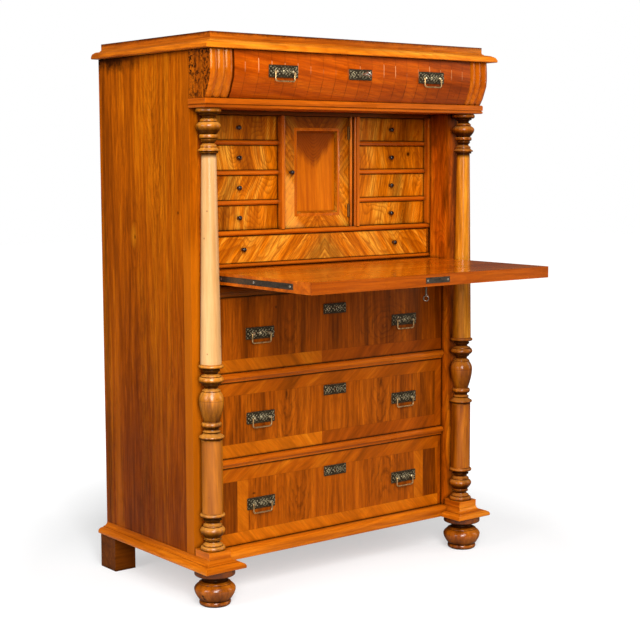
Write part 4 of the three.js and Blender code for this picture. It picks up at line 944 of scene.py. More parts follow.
def in_grooves(tree, wood, top_light=0.3):
    """Painted shade in grooves and on undersides of turned work; painted light where it looks upwards."""
    groove = add(tree, "ShaderNodeAttribute", attribute_name="hollow").outputs["Fac"]
    # Painted light where a ring looks upwards, then painted shade where it is overhung or looks down
    worn_and_lit = blend(tree, spread(tree, groove, -0.05, -0.8, 0.0, top_light), wood, tone(255, 186, 96))
    return darken(tree, worn_and_lit, spread(tree, groove, 0.0, 0.65, 0.0, 0.97), 0.13)


def shaded_far_side(tree, wood, y, axis, share):
    """Painted shade on the side of turned work towards the case."""
    return darken(tree, wood, spread(tree, y, axis + 0.002, axis + 0.024, 0.0, share), 0.4)


def column_colour(left):
    def colour(tree, xyz):
        x, y, z = xyz
        pale, figure = timber(tree, turned(tree, xyz), LOOKS["pale" if left else "amber"], 0.4)
        ringed, _ = timber(tree, turned(tree, xyz), LOOKS["amber" if left else "russet"], 1.6)
        honey, _ = timber(tree, turned(tree, xyz), LOOKS["honey" if left else "russet"], 2.6)
        body = blend(tree, inside(tree, z, *SHAFT), ringed, pale)
        body = blend(tree, inside(tree, z, *LOWER_SHAFT), body, honey)
        # Painted shade: darker towards the bottom, where less light falls
        low = spread(tree, z, 0.1, 0.6, 0.2, 0.0)
        body = in_grooves(tree, darken(tree, body, low, 0.4), 0.3 if left else 0.16)
        body = shaded_far_side(tree, body, y, COLUMN_AXIS, 0.7)
        body = darken(tree, body, times(tree, hump(tree, z, VASE_LINE, 0.0012), 0.7), 0.3)
        knots = add(tree, "ShaderNodeTexVoronoi", {"Vector": turned(tree, xyz), "Scale": 26.0}).outputs[0]
        fleck = spread(tree, knots, 0.04, 0.08, 0.6, 0.0)
        return blend(tree, fleck, body, tone(120, 62, 20)), figure
    return colour


def foot_colour(tree, xyz):
    """A turned foot, with two old nail holes in the outer side of the left one."""
    x, y, z = xyz
    colour, figure = timber(tree, turned(tree, xyz), LOOKS["foot"], 7.0)
    # Painted shade: darker at the top of the foot, under the base, and in its grooves
    colour = darken(tree, in_grooves(tree, colour, 0.0), spread(tree, z, *FOOT_NECK, 0.0, 0.8), 0.35)
    colour = shaded_far_side(tree, colour, y, FOOT_AXIS, 0.8)
    for place in NAIL_HOLES:
        hole = times(tree, spot(tree, y, z, place, NAIL_HOLE_RADIUS), calc(tree, "LESS_THAN", x, OUTER_SIDE))
        colour = blend(tree, hole, colour, tone(20, 8, 2))
    return colour, figure


MATERIALS["left_column"] = finish_wood(
    "left_column", column_colour(True), 0.36, 1.0, 0.012, 0.35, 0.28, 0.06, round_work=True,
)
MATERIALS["right_column"] = finish_wood(
    "right_column", column_colour(False), 0.36, 0.6, 0.012, 0.35, 0.2, 0.05, round_work=True,
)
MATERIALS["foot"] = finish_wood("front_foot", foot_colour, 0.36, 1.0, 0.018, 0.6, 0.2, 0.06, round_work=True)
print("turned materials ready")

# %% [markdown]
# ## Metals
#
# The fittings are thin stamped bronze, nearly black in the hollows and rubbed bright on the high points.
# The straps are plain iron. A metal's colour is its reflection, so Metallic stays near one, and dirt lowers
# it. Two masks find the hollows: ambient occlusion, and for stampings a value that each point of the mesh
# carries.

# %% Group and materials of the metals
metal_age, given, result = new_group(
    "metal age",
    [("Vector", VECTOR, None), ("Bright", COLOUR, (0.5, 0.4, 0.2, 1.0)),
     ("Dirt", COLOUR, (0.03, 0.02, 0.01, 1.0)), ("Reach", FLOAT, 0.003), ("Patina", FLOAT, 0.5),
     ("Hollow", FLOAT, 0.0)],
    [("Color", COLOUR), ("Roughness", FLOAT), ("Metal", FLOAT), ("Height", FLOAT)],
)
t = metal_age
shut_in = add(t, "ShaderNodeAmbientOcclusion", {"Distance": given["Reach"]}, samples=6).outputs["AO"]
deep = calc(t, "MAXIMUM", spread(t, shut_in, 0.4, 0.9, 1.0, 0.0), given["Hollow"])
cover = spread(t, noise(t, given["Vector"], 160.0, 4.0)[0], 0.4, 0.62)
dirty = calc(t, "MAXIMUM", deep, times(t, cover, given["Patina"]), clamp=True)
t.links.new(blend(t, dirty, given["Bright"], given["Dirt"]), result["Color"])
t.links.new(spread(t, dirty, 0.0, 1.0, 0.28, 0.55), result["Roughness"])
t.links.new(spread(t, dirty, 0.0, 1.0, 1.0, 0.35), result["Metal"])
t.links.new(noise(t, given["Vector"], 900.0)[0], result["Height"])


def metal(name, bright, dirt, reach, patina):
    material = bpy.data.materials.new(name)
    material.use_nodes = True
    tree = material.node_tree
    shader = tree.nodes["Principled BSDF"]
    where, _ = places(tree)
    hollow = add(tree, "ShaderNodeAttribute", attribute_name="hollow").outputs["Fac"]
    age = use_group(
        tree, metal_age, Vector=where, Bright=bright, Dirt=dirt, Reach=reach, Patina=patina, Hollow=hollow,
    )
    tree.links.new(age["Color"], shader.inputs["Base Color"])
    tree.links.new(age["Roughness"], shader.inputs["Roughness"])
    tree.links.new(age["Metal"], shader.inputs["Metallic"])
    shader.inputs["Specular IOR Level"].default_value = 0.25
    relief_bump = add(tree, "ShaderNodeBump", {"Strength": 0.2, "Distance": 0.0001, "Height": age["Height"]})
    tree.links.new(relief_bump.outputs[0], shader.inputs["Normal"])
    return material


METALS = {
    "bronze": metal("bronze", tone(212, 196, 154), tone(44, 34, 15), 0.003, 0.75),
    "bail": metal("bail_bronze", tone(214, 176, 118), tone(84, 56, 28), 0.002, 0.75),
    "iron": metal("iron", tone(112, 98, 84), tone(46, 38, 30), 0.004, 0.6),
    "steel": metal("steel", tone(214, 206, 190), tone(80, 70, 58), 0.002, 0.25),
}


def ebony_material():
    material = bpy.data.materials.new("ebony")
    material.use_nodes = True
    tree = material.node_tree
    shader = tree.nodes["Principled BSDF"]
    where, _ = places(tree)
    mottle = noise(tree, where, 300.0, 3.0)[0]
    colour = ramp(tree, mottle, [(0.3, tone(16, 9, 8)), (0.7, tone(40, 24, 20))])
    tree.links.new(colour, shader.inputs["Base Color"])
    tree.links.new(spread(tree, mottle, 0.3, 0.7, 0.18, 0.32), shader.inputs["Roughness"])
    return material


METALS["ebony"] = ebony_material()
print("metals:", ", ".join(METALS))

# %% [markdown]
# ## Dress the solids
#
# The CAD solids keep their meshes. Three modifiers make them look made. A small node tree joins the corners
# that the file format split and shades the faces smooth. Bevel rounds every sharp edge by less than a
# millimetre, so that edges catch the light as planed wood does. Weighted normals then keep the large faces
# flat.

# %% Materials and soft edges on the solids
def smoothing():
    group = bpy.data.node_groups.new("join and smooth", "GeometryNodeTree")
    group.interface.new_socket("Geometry", in_out="INPUT", socket_type="NodeSocketGeometry")
    group.interface.new_socket("Geometry", in_out="OUTPUT", socket_type="NodeSocketGeometry")
    start, end = group.nodes.new("NodeGroupInput"), group.nodes.new("NodeGroupOutput")
    merge = group.nodes.new("GeometryNodeMergeByDistance")
    merge.inputs["Distance"].default_value = 0.02 * MM
    smooth = group.nodes.new("GeometryNodeSetShadeSmooth")
    for source, target in ((start, merge), (merge, smooth), (smooth, end)):
        group.links.new(source.outputs[0], target.inputs[0])
    return group


SMOOTHING = smoothing()


def dress(node, material, width=0.8 * MM):
    solid = NODES[node]
    solid.data.materials.clear()
    solid.data.materials.append(material)
    solid.modifiers.new("join and smooth", "NODES").node_group = SMOOTHING
    bevel = solid.modifiers.new("bevel", "BEVEL")
    bevel.width = width
    bevel.segments = 2
    bevel.limit_method = "ANGLE"
    bevel.angle_limit = math.radians(32)
    bevel.use_clamp_overlap = True
    solid.modifiers.new("weighted normals", "WEIGHTED_NORMAL").keep_sharp = True


WOOD_OF = {
    "back_panel": "back", "top_board": "cornice", "frieze_shelf": "shelf", "writing_floor": "flap",
    "upper_rail": "shaded", "middle_rail": "rail", "lower_rail": "rail", "base_frame": "base",
    "gallery_base": "rail", "gallery_shelf": "rail", "gallery_top": "shaded", "fall_front": "flap",
    "cupboard_door": "door", "frieze_drawer": "frieze", "wide_drawer": "wide_drawer",
}
for hand in HANDS:
    WOOD_OF[f"{hand}_side"] = "side"
    WOOD_OF[f"{hand}_frieze_block"] = "reeds"
    WOOD_OF[f"{hand}_rear_foot"] = "foot_block"
    WOOD_OF[f"{hand}_drawer_rack"] = "rack"
for node in list(FRONTS) + list(FLAMES):
    WOOD_OF[node] = node
for node, wood in WOOD_OF.items():
    dress(node, MATERIALS[wood])
for node in ("left_flap_strap", "right_flap_strap", "flap_lock_plate", "flap_lock_bolt"):
    dress(node, METALS["iron"], 0.4 * MM)
print(len(WOOD_OF), "wooden solids dressed")

# %% [markdown]
# ## New pieces from code
#
# The rest is built as meshes. `piece` makes an object from points and faces, gives it its finish, and ties
# it to the body that it moves with. A lathe turns a profile about an axis, and a tube follows a path.

# %% Mesh helpers
def piece(name, points, faces, material, body, node=None, hollows=None):
    mesh = bpy.data.meshes.new(name)
    mesh.from_pydata([tuple(point) for point in points], [], faces)
    mesh.materials.append(material)
    if hollows:
        values = mesh.attributes.new("hollow", "FLOAT", "POINT")
        values.data.foreach_set("value", hollows + [0.0] * (len(points) - len(hollows)))
    for polygon in mesh.polygons:
        polygon.use_smooth = True
    mesh.set_sharp_from_angle(angle=math.radians(38))
    made = bpy.data.objects.new(name, mesh)
    bpy.context.scene.collection.objects.link(made)
    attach(made, body)
    if node:
        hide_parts(node)
    return made


def lathe(profile, sides, place):
    """Points and faces of a profile of (radius, height) turned about an axis. `place` puts a local point."""
    points, faces = [], []
    rows = [row for row in profile if row[0] > 0]
    for radius, height in rows:
        for k in range(sides):
            turn = math.tau * k / sides
            points.append(place(Vector((radius * math.cos(turn), radius * math.sin(turn), height))))
    for r in range(len(rows) - 1):
        for k in range(sides):
            n = (k + 1) % sides
            faces.append((r * sides + k, r * sides + n, (r + 1) * sides + n, (r + 1) * sides + k))
    faces.append(tuple(reversed(range(sides))))
    faces.append(tuple((len(rows) - 1) * sides + k for k in range(sides)))
    return points, faces


def tube(path, radius, sides=12):
    """Points and faces of a round rod along a path of points."""
    points, faces = [], []
    across = None
    for i, centre in enumerate(path):
        before, after = path[max(i - 1, 0)], path[min(i + 1, len(path) - 1)]
        ahead = (after - before).normalized()
        if across is None:
            across = ahead.orthogonal().normalized()
        across = (across - across.dot(ahead) * ahead).normalized()
        second = ahead.cross(across)
        size = radius(i / (len(path) - 1)) if callable(radius) else radius
        for k in range(sides):
            turn = math.tau * k / sides
            points.append(centre + size * (math.cos(turn) * across + math.sin(turn) * second))
    for r in range(len(path) - 1):
        for k in range(sides):
            n = (k + 1) % sides
            faces.append((r * sides + k, r * sides + n, (r + 1) * sides + n, (r + 1) * sides + k))
    faces.append(tuple(reversed(range(sides))))
    faces.append(tuple((len(path) - 1) * sides + k for k in range(sides)))
    return points, faces


def joined(*parts):
    """One list of points and faces from several."""
    points, faces = [], []
    for more_points, more_faces in parts:
        start = len(points)
        points.extend(more_points)
        faces.extend(tuple(index + start for index in face) for face in more_faces)
    return points, faces


def in_metres(profile):
    """A profile that is given in millimetres."""
    return [(a * MM, b * MM) for a, b in profile]


def standing(x, y, z):
    """Places a turned piece with its axis upright."""
    return lambda point: Vector((x + point.x, y + point.y, z + point.z))


def facing(x, y, z):
    """Places a turned piece with its axis towards the viewer."""
    return lambda point: Vector((x + point.x, y - point.z, z + point.y))


print("mesh helpers ready")

# %% [markdown]
# ## Columns and feet
#
# A turner reads a column as a row of forms: bead, cove, shaft, flare, swell. Each form here has its share
# of the height and its radii as shares of the widest ring, from the bottom upwards. They follow the solids,
# with finer rings and many more facets. Every form becomes a few rings of the profile.

# %% Turn the columns and the feet
SIDES = 56
COLUMN_RADIUS, FOOT_RADIUS = 0.0318, 0.053
PLINTH_HEIGHT, SUNK, INSET = 0.0177, 0.002, 0.0002
COLUMN = [
    ("bead", 11.5, 0.97, 0.84, None), ("bead", 5.5, 0.77, 0.71, None), ("cove", 11, 0.54, None, None),
    ("bead", 6, 0.66, 0.60, None), ("swell", 26, 0.975, 0.66, 0.78, 0.68), ("bead", 5, 0.75, 0.69, None),
    ("cove", 12, 0.56, None, None), ("bead", 5, 0.70, 0.64, None), ("shaft", 2.5, 0.64, 0.64, None),
    ("bead", 8.5, 0.99, 0.86, None), ("shaft", 187, 0.84, 0.83, None), ("bead", 7, 0.98, 0.86, None),
    ("flare", 9.5, 0.88, None, 0.60), ("cove", 12, 0.54, None, None), ("bead", 11, 0.79, 0.68, None),
    ("shaft", 2.5, 0.60, 0.60, None), ("swell", 73.5, 0.965, 0.62, 0.72, 0.74), ("bead", 4, 0.72, 0.68, None),
    ("cove", 12, 0.49, None, None), ("bead", 4, 0.70, 0.66, None), ("swell", 16, 0.965, 0.76, 0.88, 0.55),
    ("bead", 4.5, 0.78, 0.73, None), ("cove", 9.5, 0.51, None, None), ("bead", 5, 0.69, 0.64, None),
    ("shaft", 3, 0.62, 0.62, None), ("bead", 7.5, 0.97, 0.86, None), ("shaft", 510.5, 0.82, 0.57, None),
    ("bead", 5, 0.72, 0.66, None), ("bead", 4, 0.85, 0.80, None), ("flare", 5, 0.82, None, 0.64),
    ("bead", 5, 0.64, 0.60, None), ("cove", 10.5, 0.45, None, None), ("bead", 5.5, 0.58, 0.53, None),
    ("bead", 10, 0.72, 0.65, None), ("swell", 29.5, 0.95, 0.57, 0.70, 0.7), ("bead", 6, 0.65, 0.60, None),
    ("cove", 11, 0.46, None, None), ("bead", 4, 0.71, 0.67, None), ("bead", 12, 0.98, 0.82, None),
]
FOOT = [
    ("shaft", 2, 0.64, 0.70, None), ("bead", 11, 0.745, 0.69, None), ("shaft", 2, 0.69, 0.69, None),
    ("swell", 40, 0.975, 0.74, 0.78, 0.68), ("bead", 3.5, 0.76, 0.71, None), ("flare", 8, 0.70, None, 0.54),
    ("shaft", 4, 0.54, 0.54, None), ("swell", 13, 0.96, 0.56, 0.96, 0.62), ("shaft", 8.2, 0.96, 0.96, None),
]


def turning(forms, height, radius, steps=10):
    whole = sum(form[1] for form in forms)
    rings, level_now = [], 0.0
    for form, part, share, start_share, end_share, *more in forms:
        length = part / whole * height
        crest = share * radius
        start = crest - length / 2 if start_share is None else start_share * radius
        end = start if end_share is None else end_share * radius
        for i in range(steps + 1):
            run = i / steps
            eased = (1 - math.cos(math.pi * run)) / 2
            if form == "shaft":
                ring = (crest + (start - crest) * eased, eased)
            elif form == "flare":
                ring = (end + (crest - end) * (1 - math.sin(math.pi / 2 * run)), run)
            elif form == "swell":
                rising = run < more[0]
                way = run / more[0] if rising else (1 - run) / (1 - more[0])
                edge = start if rising else end
                ring = (edge + (crest - edge) * math.sin(math.pi / 2 * way), run)
            elif form == "cove":
                rim = crest + length / 2
                ring = (rim + (crest - rim) * math.sin(math.pi * run), run)
            else:
                ring = (start + (crest - start) * math.sin(math.pi * run), eased)
            rings.append((ring[0], level_now + ring[1] * length))
        level_now += length
    return rings


def grooves(rings, shade=1.1, reach=0.014, slope=0.55, depth=0.0045):
    """For each ring, how much the forms just above overhang it; less than 0 where it looks freely upwards."""
    values = []
    for i, (radius, level) in enumerate(rings):
        before, after = rings[max(i - 1, 0)], rings[min(i + 1, len(rings) - 1)]
        out, rise = after[0] - before[0], after[1] - before[1]
        down = out / max(math.hypot(out, rise), 1e-6)
        above = [
            other - radius - slope * (height - level)
            for other, height in rings if 0 < height - level < reach
        ]
        covered = min(max(max(above, default=0.0) / depth, 0.0), 1.0)
        values.append(min(covered + shade * max(down, 0.0), 1.0) + min(down, 0.0) * (1 - covered))
    return values


def plinth_block(x, y, low, high, half):
    """The square block under a column, with its upright edges cut back a little."""
    cut = 0.0012
    outline = [
        (half - cut, half), (-half + cut, half), (-half, half - cut), (-half, -half + cut),
        (-half + cut, -half), (half - cut, -half), (half, -half + cut), (half, half - cut),
    ]
    points = [Vector((x + a, y + b, z)) for z in (low, high) for a, b in outline]
    count = len(outline)
    faces = [(k, (k + 1) % count, count + (k + 1) % count, count + k) for k in range(count)]
    faces.append(tuple(reversed(range(count))))
    faces.append(tuple(range(count, 2 * count)))
    return points, faces


def per_point(values):
    return [value for value in values for _ in range(SIDES)]


def turned_pieces():
    for hand in HANDS:
        low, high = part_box(f"{hand}_column")
        x, y = (low.x + high.x) / 2, low.y + PLINTH_HALF
        plinth = plinth_block(x, y - INSET, low.z, low.z + PLINTH_HEIGHT, PLINTH_HALF - INSET)
        foot_of_column = low.z + PLINTH_HEIGHT - SUNK
        forms = turning(COLUMN, high.z - foot_of_column, COLUMN_RADIUS)
        column = lathe(forms, SIDES, standing(x, y, foot_of_column))
        points, faces = joined(column, plinth)
        made = piece(
            f"{hand}_turned_column", points, faces, MATERIALS[f"{hand}_column"], "case",
            f"{hand}_column", per_point(grooves(forms)),
        )
        made.data.materials.append(MATERIALS["base"])
        for polygon in made.data.polygons[-len(plinth[1]):]:
            polygon.material_index = 1
        low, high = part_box(f"{hand}_front_foot")
        forms = turning(FOOT, high.z - low.z, FOOT_RADIUS)
        middle = standing((low.x + high.x) / 2, (low.y + high.y) / 2, low.z)
        points, faces = lathe(forms, SIDES, middle)
        piece(
            f"{hand}_turned_foot", points, faces, MATERIALS["foot"], "case",
            f"{hand}_front_foot", per_point(grooves(forms, 0.4)),
        )
    print("turned two columns and two feet")


turned_pieces()

# %% [markdown]
# ## Stamped plates
#
# The handle plates and escutcheons are pressed from sheet: a low beaded rim, a pin in each corner, leaves,
# scrolls, and a rosette in the middle. Each is a fine grid of points lifted by a height function, which is
# the natural way to model a stamping. The grid closes down to the wood at its rim, and an escutcheon leaves
# out the cells of its keyhole.

# %% Relief of the plates
GROUND = 1.35
PIN_INSET, PIN_RADIUS, PIN_HEIGHT = 4.6, 1.8, 0.9
ROSETTE_RADIUS, PETALS = 9.0, 8
SCROLL_RADIUS = 10.5


def bump_at(u, v, at_u, at_v, radius):
    distance = math.hypot(u - at_u, v - at_v) / radius
    return max(0.0, 1.0 - distance * distance)


def relief(u, v, half_u, half_v, scrolls):
    """Height above the wood, in millimetres, at a point of a plate."""
    edge = min(half_u - abs(u), half_v - abs(v))
    rim = math.exp(-(edge - 1.5) ** 2)
    leaves = math.sin(0.62 * u + 1.1 * math.sin(0.5 * v)) * math.cos(0.52 * v + 0.9 * math.sin(0.43 * u))
    height = GROUND + 0.2 * rim + 0.14 * rim * math.sin(2.4 * (u + v))
    height += 1.3 * max(0.0, leaves) * (1.0 - rim) * (1.0 - 0.8 * abs(v) / half_v)
    for at_u in (-half_u + PIN_INSET, half_u - PIN_INSET):
        for at_v in (-half_v + PIN_INSET, half_v - PIN_INSET):
            height += PIN_HEIGHT * bump_at(u, v, at_u, at_v, PIN_RADIUS)
    r = math.hypot(u, v)
    if r < ROSETTE_RADIUS:
        petals = 0.5 + 0.5 * math.cos(PETALS * math.atan2(v, u))
        height += 0.6 * petals * (1 - (r / ROSETTE_RADIUS) ** 2) + 0.7 * bump_at(u, v, 0.0, 0.0, 3.0)
    for at_u in scrolls:
        su, sv = u - at_u, v
        r = math.hypot(su, sv)
        if r < SCROLL_RADIUS:
            curl = math.cos(1.05 * r - math.atan2(sv, su * (1 if at_u > 0 else -1)))
            height += max(0.0, 0.7 * curl) * (1 - (r / SCROLL_RADIUS) ** 2)
    return height


def hollow_at(height, lift):
    """How much dirt a point of a plate holds: 1 on its ground, 0 on what stands proud of it."""
    return max(0.0, min(1.0, 1.0 - (height - lift - GROUND - 0.25) / 0.8))


def in_keyhole(u, v):
    return math.hypot(u, v) < 2.9 or (abs(u) < 1.5 and -7.6 < v < 0)


def stamped(x, face, z, half_u, half_v, step, scrolls, keyhole=False, lift=0.0):
    """A stamped plate on a plane that looks towards the viewer, from half sizes in millimetres."""
    columns, rows = round(2 * half_u / step), round(2 * half_v / step)
    points, faces, index, hollows = [], [], {}, []
    for j in range(rows + 1):
        for i in range(columns + 1):
            u = -half_u + 2 * half_u * i / columns
            v = -half_v + 2 * half_v * j / rows
            index[i, j] = len(points)
            height = relief(u, v, half_u, half_v, scrolls) + lift
            hollows.append(hollow_at(height, lift))
            points.append(Vector((x + u * MM, face - height * MM, z + v * MM)))
    for j in range(rows):
        for i in range(columns):
            u = -half_u + 2 * half_u * (i + 0.5) / columns
            v = -half_v + 2 * half_v * (j + 0.5) / rows
            if not (keyhole and in_keyhole(u, v)):
                faces.append((index[i, j], index[i + 1, j], index[i + 1, j + 1], index[i, j + 1]))
    border = [(i, 0) for i in range(columns)] + [(columns, j) for j in range(rows)]
    border += [(i, rows) for i in range(columns, 0, -1)] + [(0, j) for j in range(rows, 0, -1)]
    start = len(points)
    for key in border:
        points.append(Vector((points[index[key]].x, face, points[index[key]].z)))
    count = len(border)
    for k, key in enumerate(border):
        following = (k + 1) % count
        faces.append((index[key], start + k, start + following, index[border[following]]))
    if not keyhole:
        faces.append(tuple(start + k for k in reversed(range(count))))
    return points, faces, hollows


print("relief at the middle", round(relief(0, 0, 44, 15, ()), 2), "mm")

# %% [markdown]
# ## Handles
#
# A bail is a bent wire that hangs in two ball-shaped eyes. Its path is a flat U with rounded lower corners.
# It swings about its ends, so it belongs to its own body while the plate belongs to the drawer.

# %% Plates, eyes, bails and escutcheons
HANDLED_DRAWERS = ("frieze", "upper", "middle", "lower")
# Half width, half height, grid step and places of the scrolls, in millimetres
PLATE = (44.0, 15.0, 0.9, (-19.0, 19.0))
ESCUTCHEON = (37.3, 13.3, 0.8, (-21.0, 21.0))
ESCUTCHEON_HEIGHTS = {"upper": 0.708, "middle": 0.492, "lower": 0.274}
FRIEZE_LOCK_HEIGHT = 1.3117
ESCUTCHEON_LIFT = 0.75
EYE_RADIUS, EYE_AT = 4.0, 24.0


def arc(centre_x, centre_z, radius, start, end, steps=6):
    return [
        (centre_x + radius * math.cos(math.radians(start + (end - start) * i / steps)),
         centre_z + radius * math.sin(math.radians(start + (end - start) * i / steps)))
        for i in range(steps + 1)
    ]


def bail_path(x, y, z):
    half, drop, corner = 29.0, 23.0, 5.5
    right_side = [(21.8, 0.0), (25.0, 0.0)] + arc(half - 2.0, -2.0, 2.0, 90, 0, 4)
    right_side += arc(half - corner, -drop + corner, corner, 0, -90)
    whole = right_side + [(-a, b) for a, b in reversed(right_side)]
    return [Vector((x + a * MM, y, z + b * MM)) for a, b in whole]


def bail_thickness(run):
    """Half the thickness of a bail, which swells a little towards its middle."""
    return (1.75 + 0.25 * math.sin(math.pi * run)) * MM


def ball_profile(radius, steps=10):
    """The half circle of a ball given in millimetres, kept a hair off its axis."""
    turns = [math.pi * i / steps for i in range(steps + 1)]
    return [(max(radius * math.sin(turn), 0.01) * MM, -radius * math.cos(turn) * MM) for turn in turns]


def handles():
    for drawer in HANDLED_DRAWERS:
        for hand in HANDS:
            plate_low, plate_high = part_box(f"{drawer}_{hand}_plate")
            bail_low, bail_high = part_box(f"{drawer}_{hand}_bail")
            x = (plate_low.x + plate_high.x) / 2
            z = (plate_low.z + plate_high.z) / 2
            y = (bail_low.y + bail_high.y) / 2
            plate_points, plate_faces, hollows = stamped(x, plate_high.y, z, *PLATE)
            eyes = []
            pivot = bail_high.z - 0.0018
            for side in (-1, 1):
                eye = facing(x + side * EYE_AT * MM, y, pivot)
                eyes.append(lathe(ball_profile(EYE_RADIUS), 16, eye))
                neck = [(2.6 * MM, 0.0), (2.1 * MM, -0.004), (3.0 * MM, y - plate_high.y + 0.001)]
                eyes.append(lathe(neck, 12, eye))
            points, faces = joined((plate_points, plate_faces), *eyes)
            piece(
                f"{drawer}_{hand}_stamped_plate", points, faces, METALS["bronze"],
                f"{drawer}_drawer", f"{drawer}_{hand}_plate", hollows,
            )
            points, faces = tube(bail_path(x, y, pivot), bail_thickness)
            piece(
                f"{drawer}_{hand}_bent_bail", points, faces, METALS["bail"],
                f"{drawer}_{hand}_bail", f"{drawer}_{hand}_bail",
            )
    print("eight plates and eight bails")


def escutcheons():
    for drawer, z in ESCUTCHEON_HEIGHTS.items():
        face = front_of(f"{drawer}_drawer") + 0.002
        points, faces, hollows = stamped(0.0, face, z, *ESCUTCHEON, True, ESCUTCHEON_LIFT)
        piece(
            f"{drawer}_escutcheon", points, faces, METALS["bronze"],
            f"{drawer}_drawer", None, hollows,
        )
    face = front_of("frieze_drawer") + 0.001
    points, faces, hollows = stamped(0.0, face, FRIEZE_LOCK_HEIGHT, *ESCUTCHEON, True)
    piece("frieze_escutcheon", points, faces, METALS["bronze"], "frieze_drawer", None, hollows)
    print("four escutcheons")


handles()
escutcheons()

# %% [markdown]
# ## Bead round the door panel
#
# A thin moulding covers the edge where the panel meets its frame. On the bench it is planed as one long
# strip and cut at 45 degrees for the corners. Here one section is carried round a rectangle: each point of
# the section becomes a rectangle of four corners, larger the further out the point lies, so the mitres come
# out by themselves.

# %% Mould the bead of the door
BEAD = [
    (0.2, -1.0), (0.2, 0.9), (0.9, 1.9), (2.4, 2.3), (4.2, 1.9), (5.4, 1.0), (6.4, 0.7), (7.6, 0.7),
    (8.2, 0.3), (8.2, -1.0),
]


def door_bead():
    low, high = DOOR_BOX
    middle = (low.z + high.z) / 2
    half_z = (high.z - low.z) / 2 - PANEL_BORDER
    points, faces = [], []
    for outward, proud in BEAD:
        for side, level in ((-1, -1), (1, -1), (1, 1), (-1, 1)):
            points.append(Vector((
                side * (PANEL_HALF + outward * MM), DOOR_FACE - proud * MM,
                middle + level * (half_z + outward * MM),
            )))
    count = len(BEAD)
    for i in range(count):
        for k in range(4):
            a, b = 4 * i + k, 4 * i + (k + 1) % 4
            c, d = 4 * ((i + 1) % count) + (k + 1) % 4, 4 * ((i + 1) % count) + k
            faces.append((d, c, b, a))
    piece("cupboard_door_bead", points, faces, MATERIALS["door_bead"], "cupboard_door")
    print("bead", round(2 * half_z, 3), "m high inside")


door_bead()

# %% [markdown]
# ## Knobs and keys
#
# The gallery has small black turned knobs. The keys are a round shaft with a collar and an oval bow: the
# one in the frieze is bright steel, the one under the flap is dark iron.

# %% Knobs, keys, rivets and screws
KNOB_STAND = 0.013
WIDE_KNOB_AT = 0.255
DOOR_KNOB_INSET = 0.0205
BIT_DEPTH = 0.013
RIVETS_FROM_END = (0.012, 0.155, 0.29)
STRAP_FACE = 0.388
SCREW_INSET = 0.006


def knob_points(x, face, z):
    profile = [
        (4.2, -0.5), (4.2, 0.6), (3.2, 1.0), (2.7, 2.0), (2.6, 3.6), (3.2, 4.8), (4.8, 6.0), (5.8, 7.6),
        (6.0, 9.2), (5.6, 10.8), (4.6, 12.0), (3.0, 12.9), (1.2, 13.25), (0.2, 13.3),
    ]
    return lathe(in_metres(profile), 28, facing(x, face, z))


def knobs():
    for node in FLAMES:
        low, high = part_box(node)
        points, faces = knob_points((low.x + high.x) / 2, low.y + KNOB_STAND, (low.z + high.z) / 2)
        piece(f"{node}_knob", points, faces, METALS["ebony"], node)
    low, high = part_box("wide_drawer")
    middle, face = (low.z + high.z) / 2, low.y + KNOB_STAND
    points, faces = joined(*(knob_points(side * WIDE_KNOB_AT, face, middle) for side in (-1, 1)))
    piece("wide_drawer_knobs", points, faces, METALS["ebony"], "wide_drawer")
    low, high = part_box("cupboard_door")
    points, faces = knob_points(low.x + DOOR_KNOB_INSET, low.y + KNOB_STAND, (low.z + high.z) / 2)
    piece("door_knob", points, faces, METALS["ebony"], "cupboard_door")
    print("eleven knobs")


def key_points(place):
    """A key along the local Z axis, with the face of the lock at zero."""
    shaft = [(2.3, -13.0), (2.4, 0.0), (2.4, 22.0), (3.3, 23.0), (3.5, 24.5), (2.6, 25.5), (2.4, 27.5)]
    shaft_part = lathe(in_metres(shaft), 20, place)
    bow = []
    for i in range(33):
        turn = math.tau * i / 32
        bow.append(place(Vector((
            6.2 * math.sin(turn) * math.sqrt(0.5) * MM, 6.2 * math.sin(turn) * math.sqrt(0.5) * MM,
            (33.4 - 6.4 * math.cos(turn)) * MM,
        ))))
    corners = ((-1, 0), (1, 0), (1, 7), (-1, 7))
    bit = [place(Vector((a * MM, b * MM, c * MM))) for c in (-13.0, -7.0) for a, b in corners]
    bit_faces = [(3, 2, 1, 0), (4, 5, 6, 7), (0, 1, 5, 4), (1, 2, 6, 5), (2, 3, 7, 6), (3, 0, 4, 7)]
    return joined(shaft_part, tube(bow, 1.6 * MM, 10), (bit, bit_faces))


def keys():
    low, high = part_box("frieze_key")
    centre_x = (low.x + high.x) / 2
    lock_face = high.y - BIT_DEPTH
    middle_z = (low.z + high.z) / 2
    points, faces = key_points(lambda p: Vector((centre_x + p.x, lock_face - p.z, middle_z - p.y)))
    piece("frieze_turned_key", points, faces, METALS["steel"], "frieze_key", "frieze_key")
    low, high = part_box("flap_key")
    lock_face = high.z - BIT_DEPTH
    centre_y = (low.y + high.y) / 2
    points, faces = key_points(lambda p: Vector((p.x, centre_y - p.y, lock_face - p.z)))
    piece("flap_turned_key", points, faces, METALS["iron"], "flap_key", "flap_key")
    print("two keys")


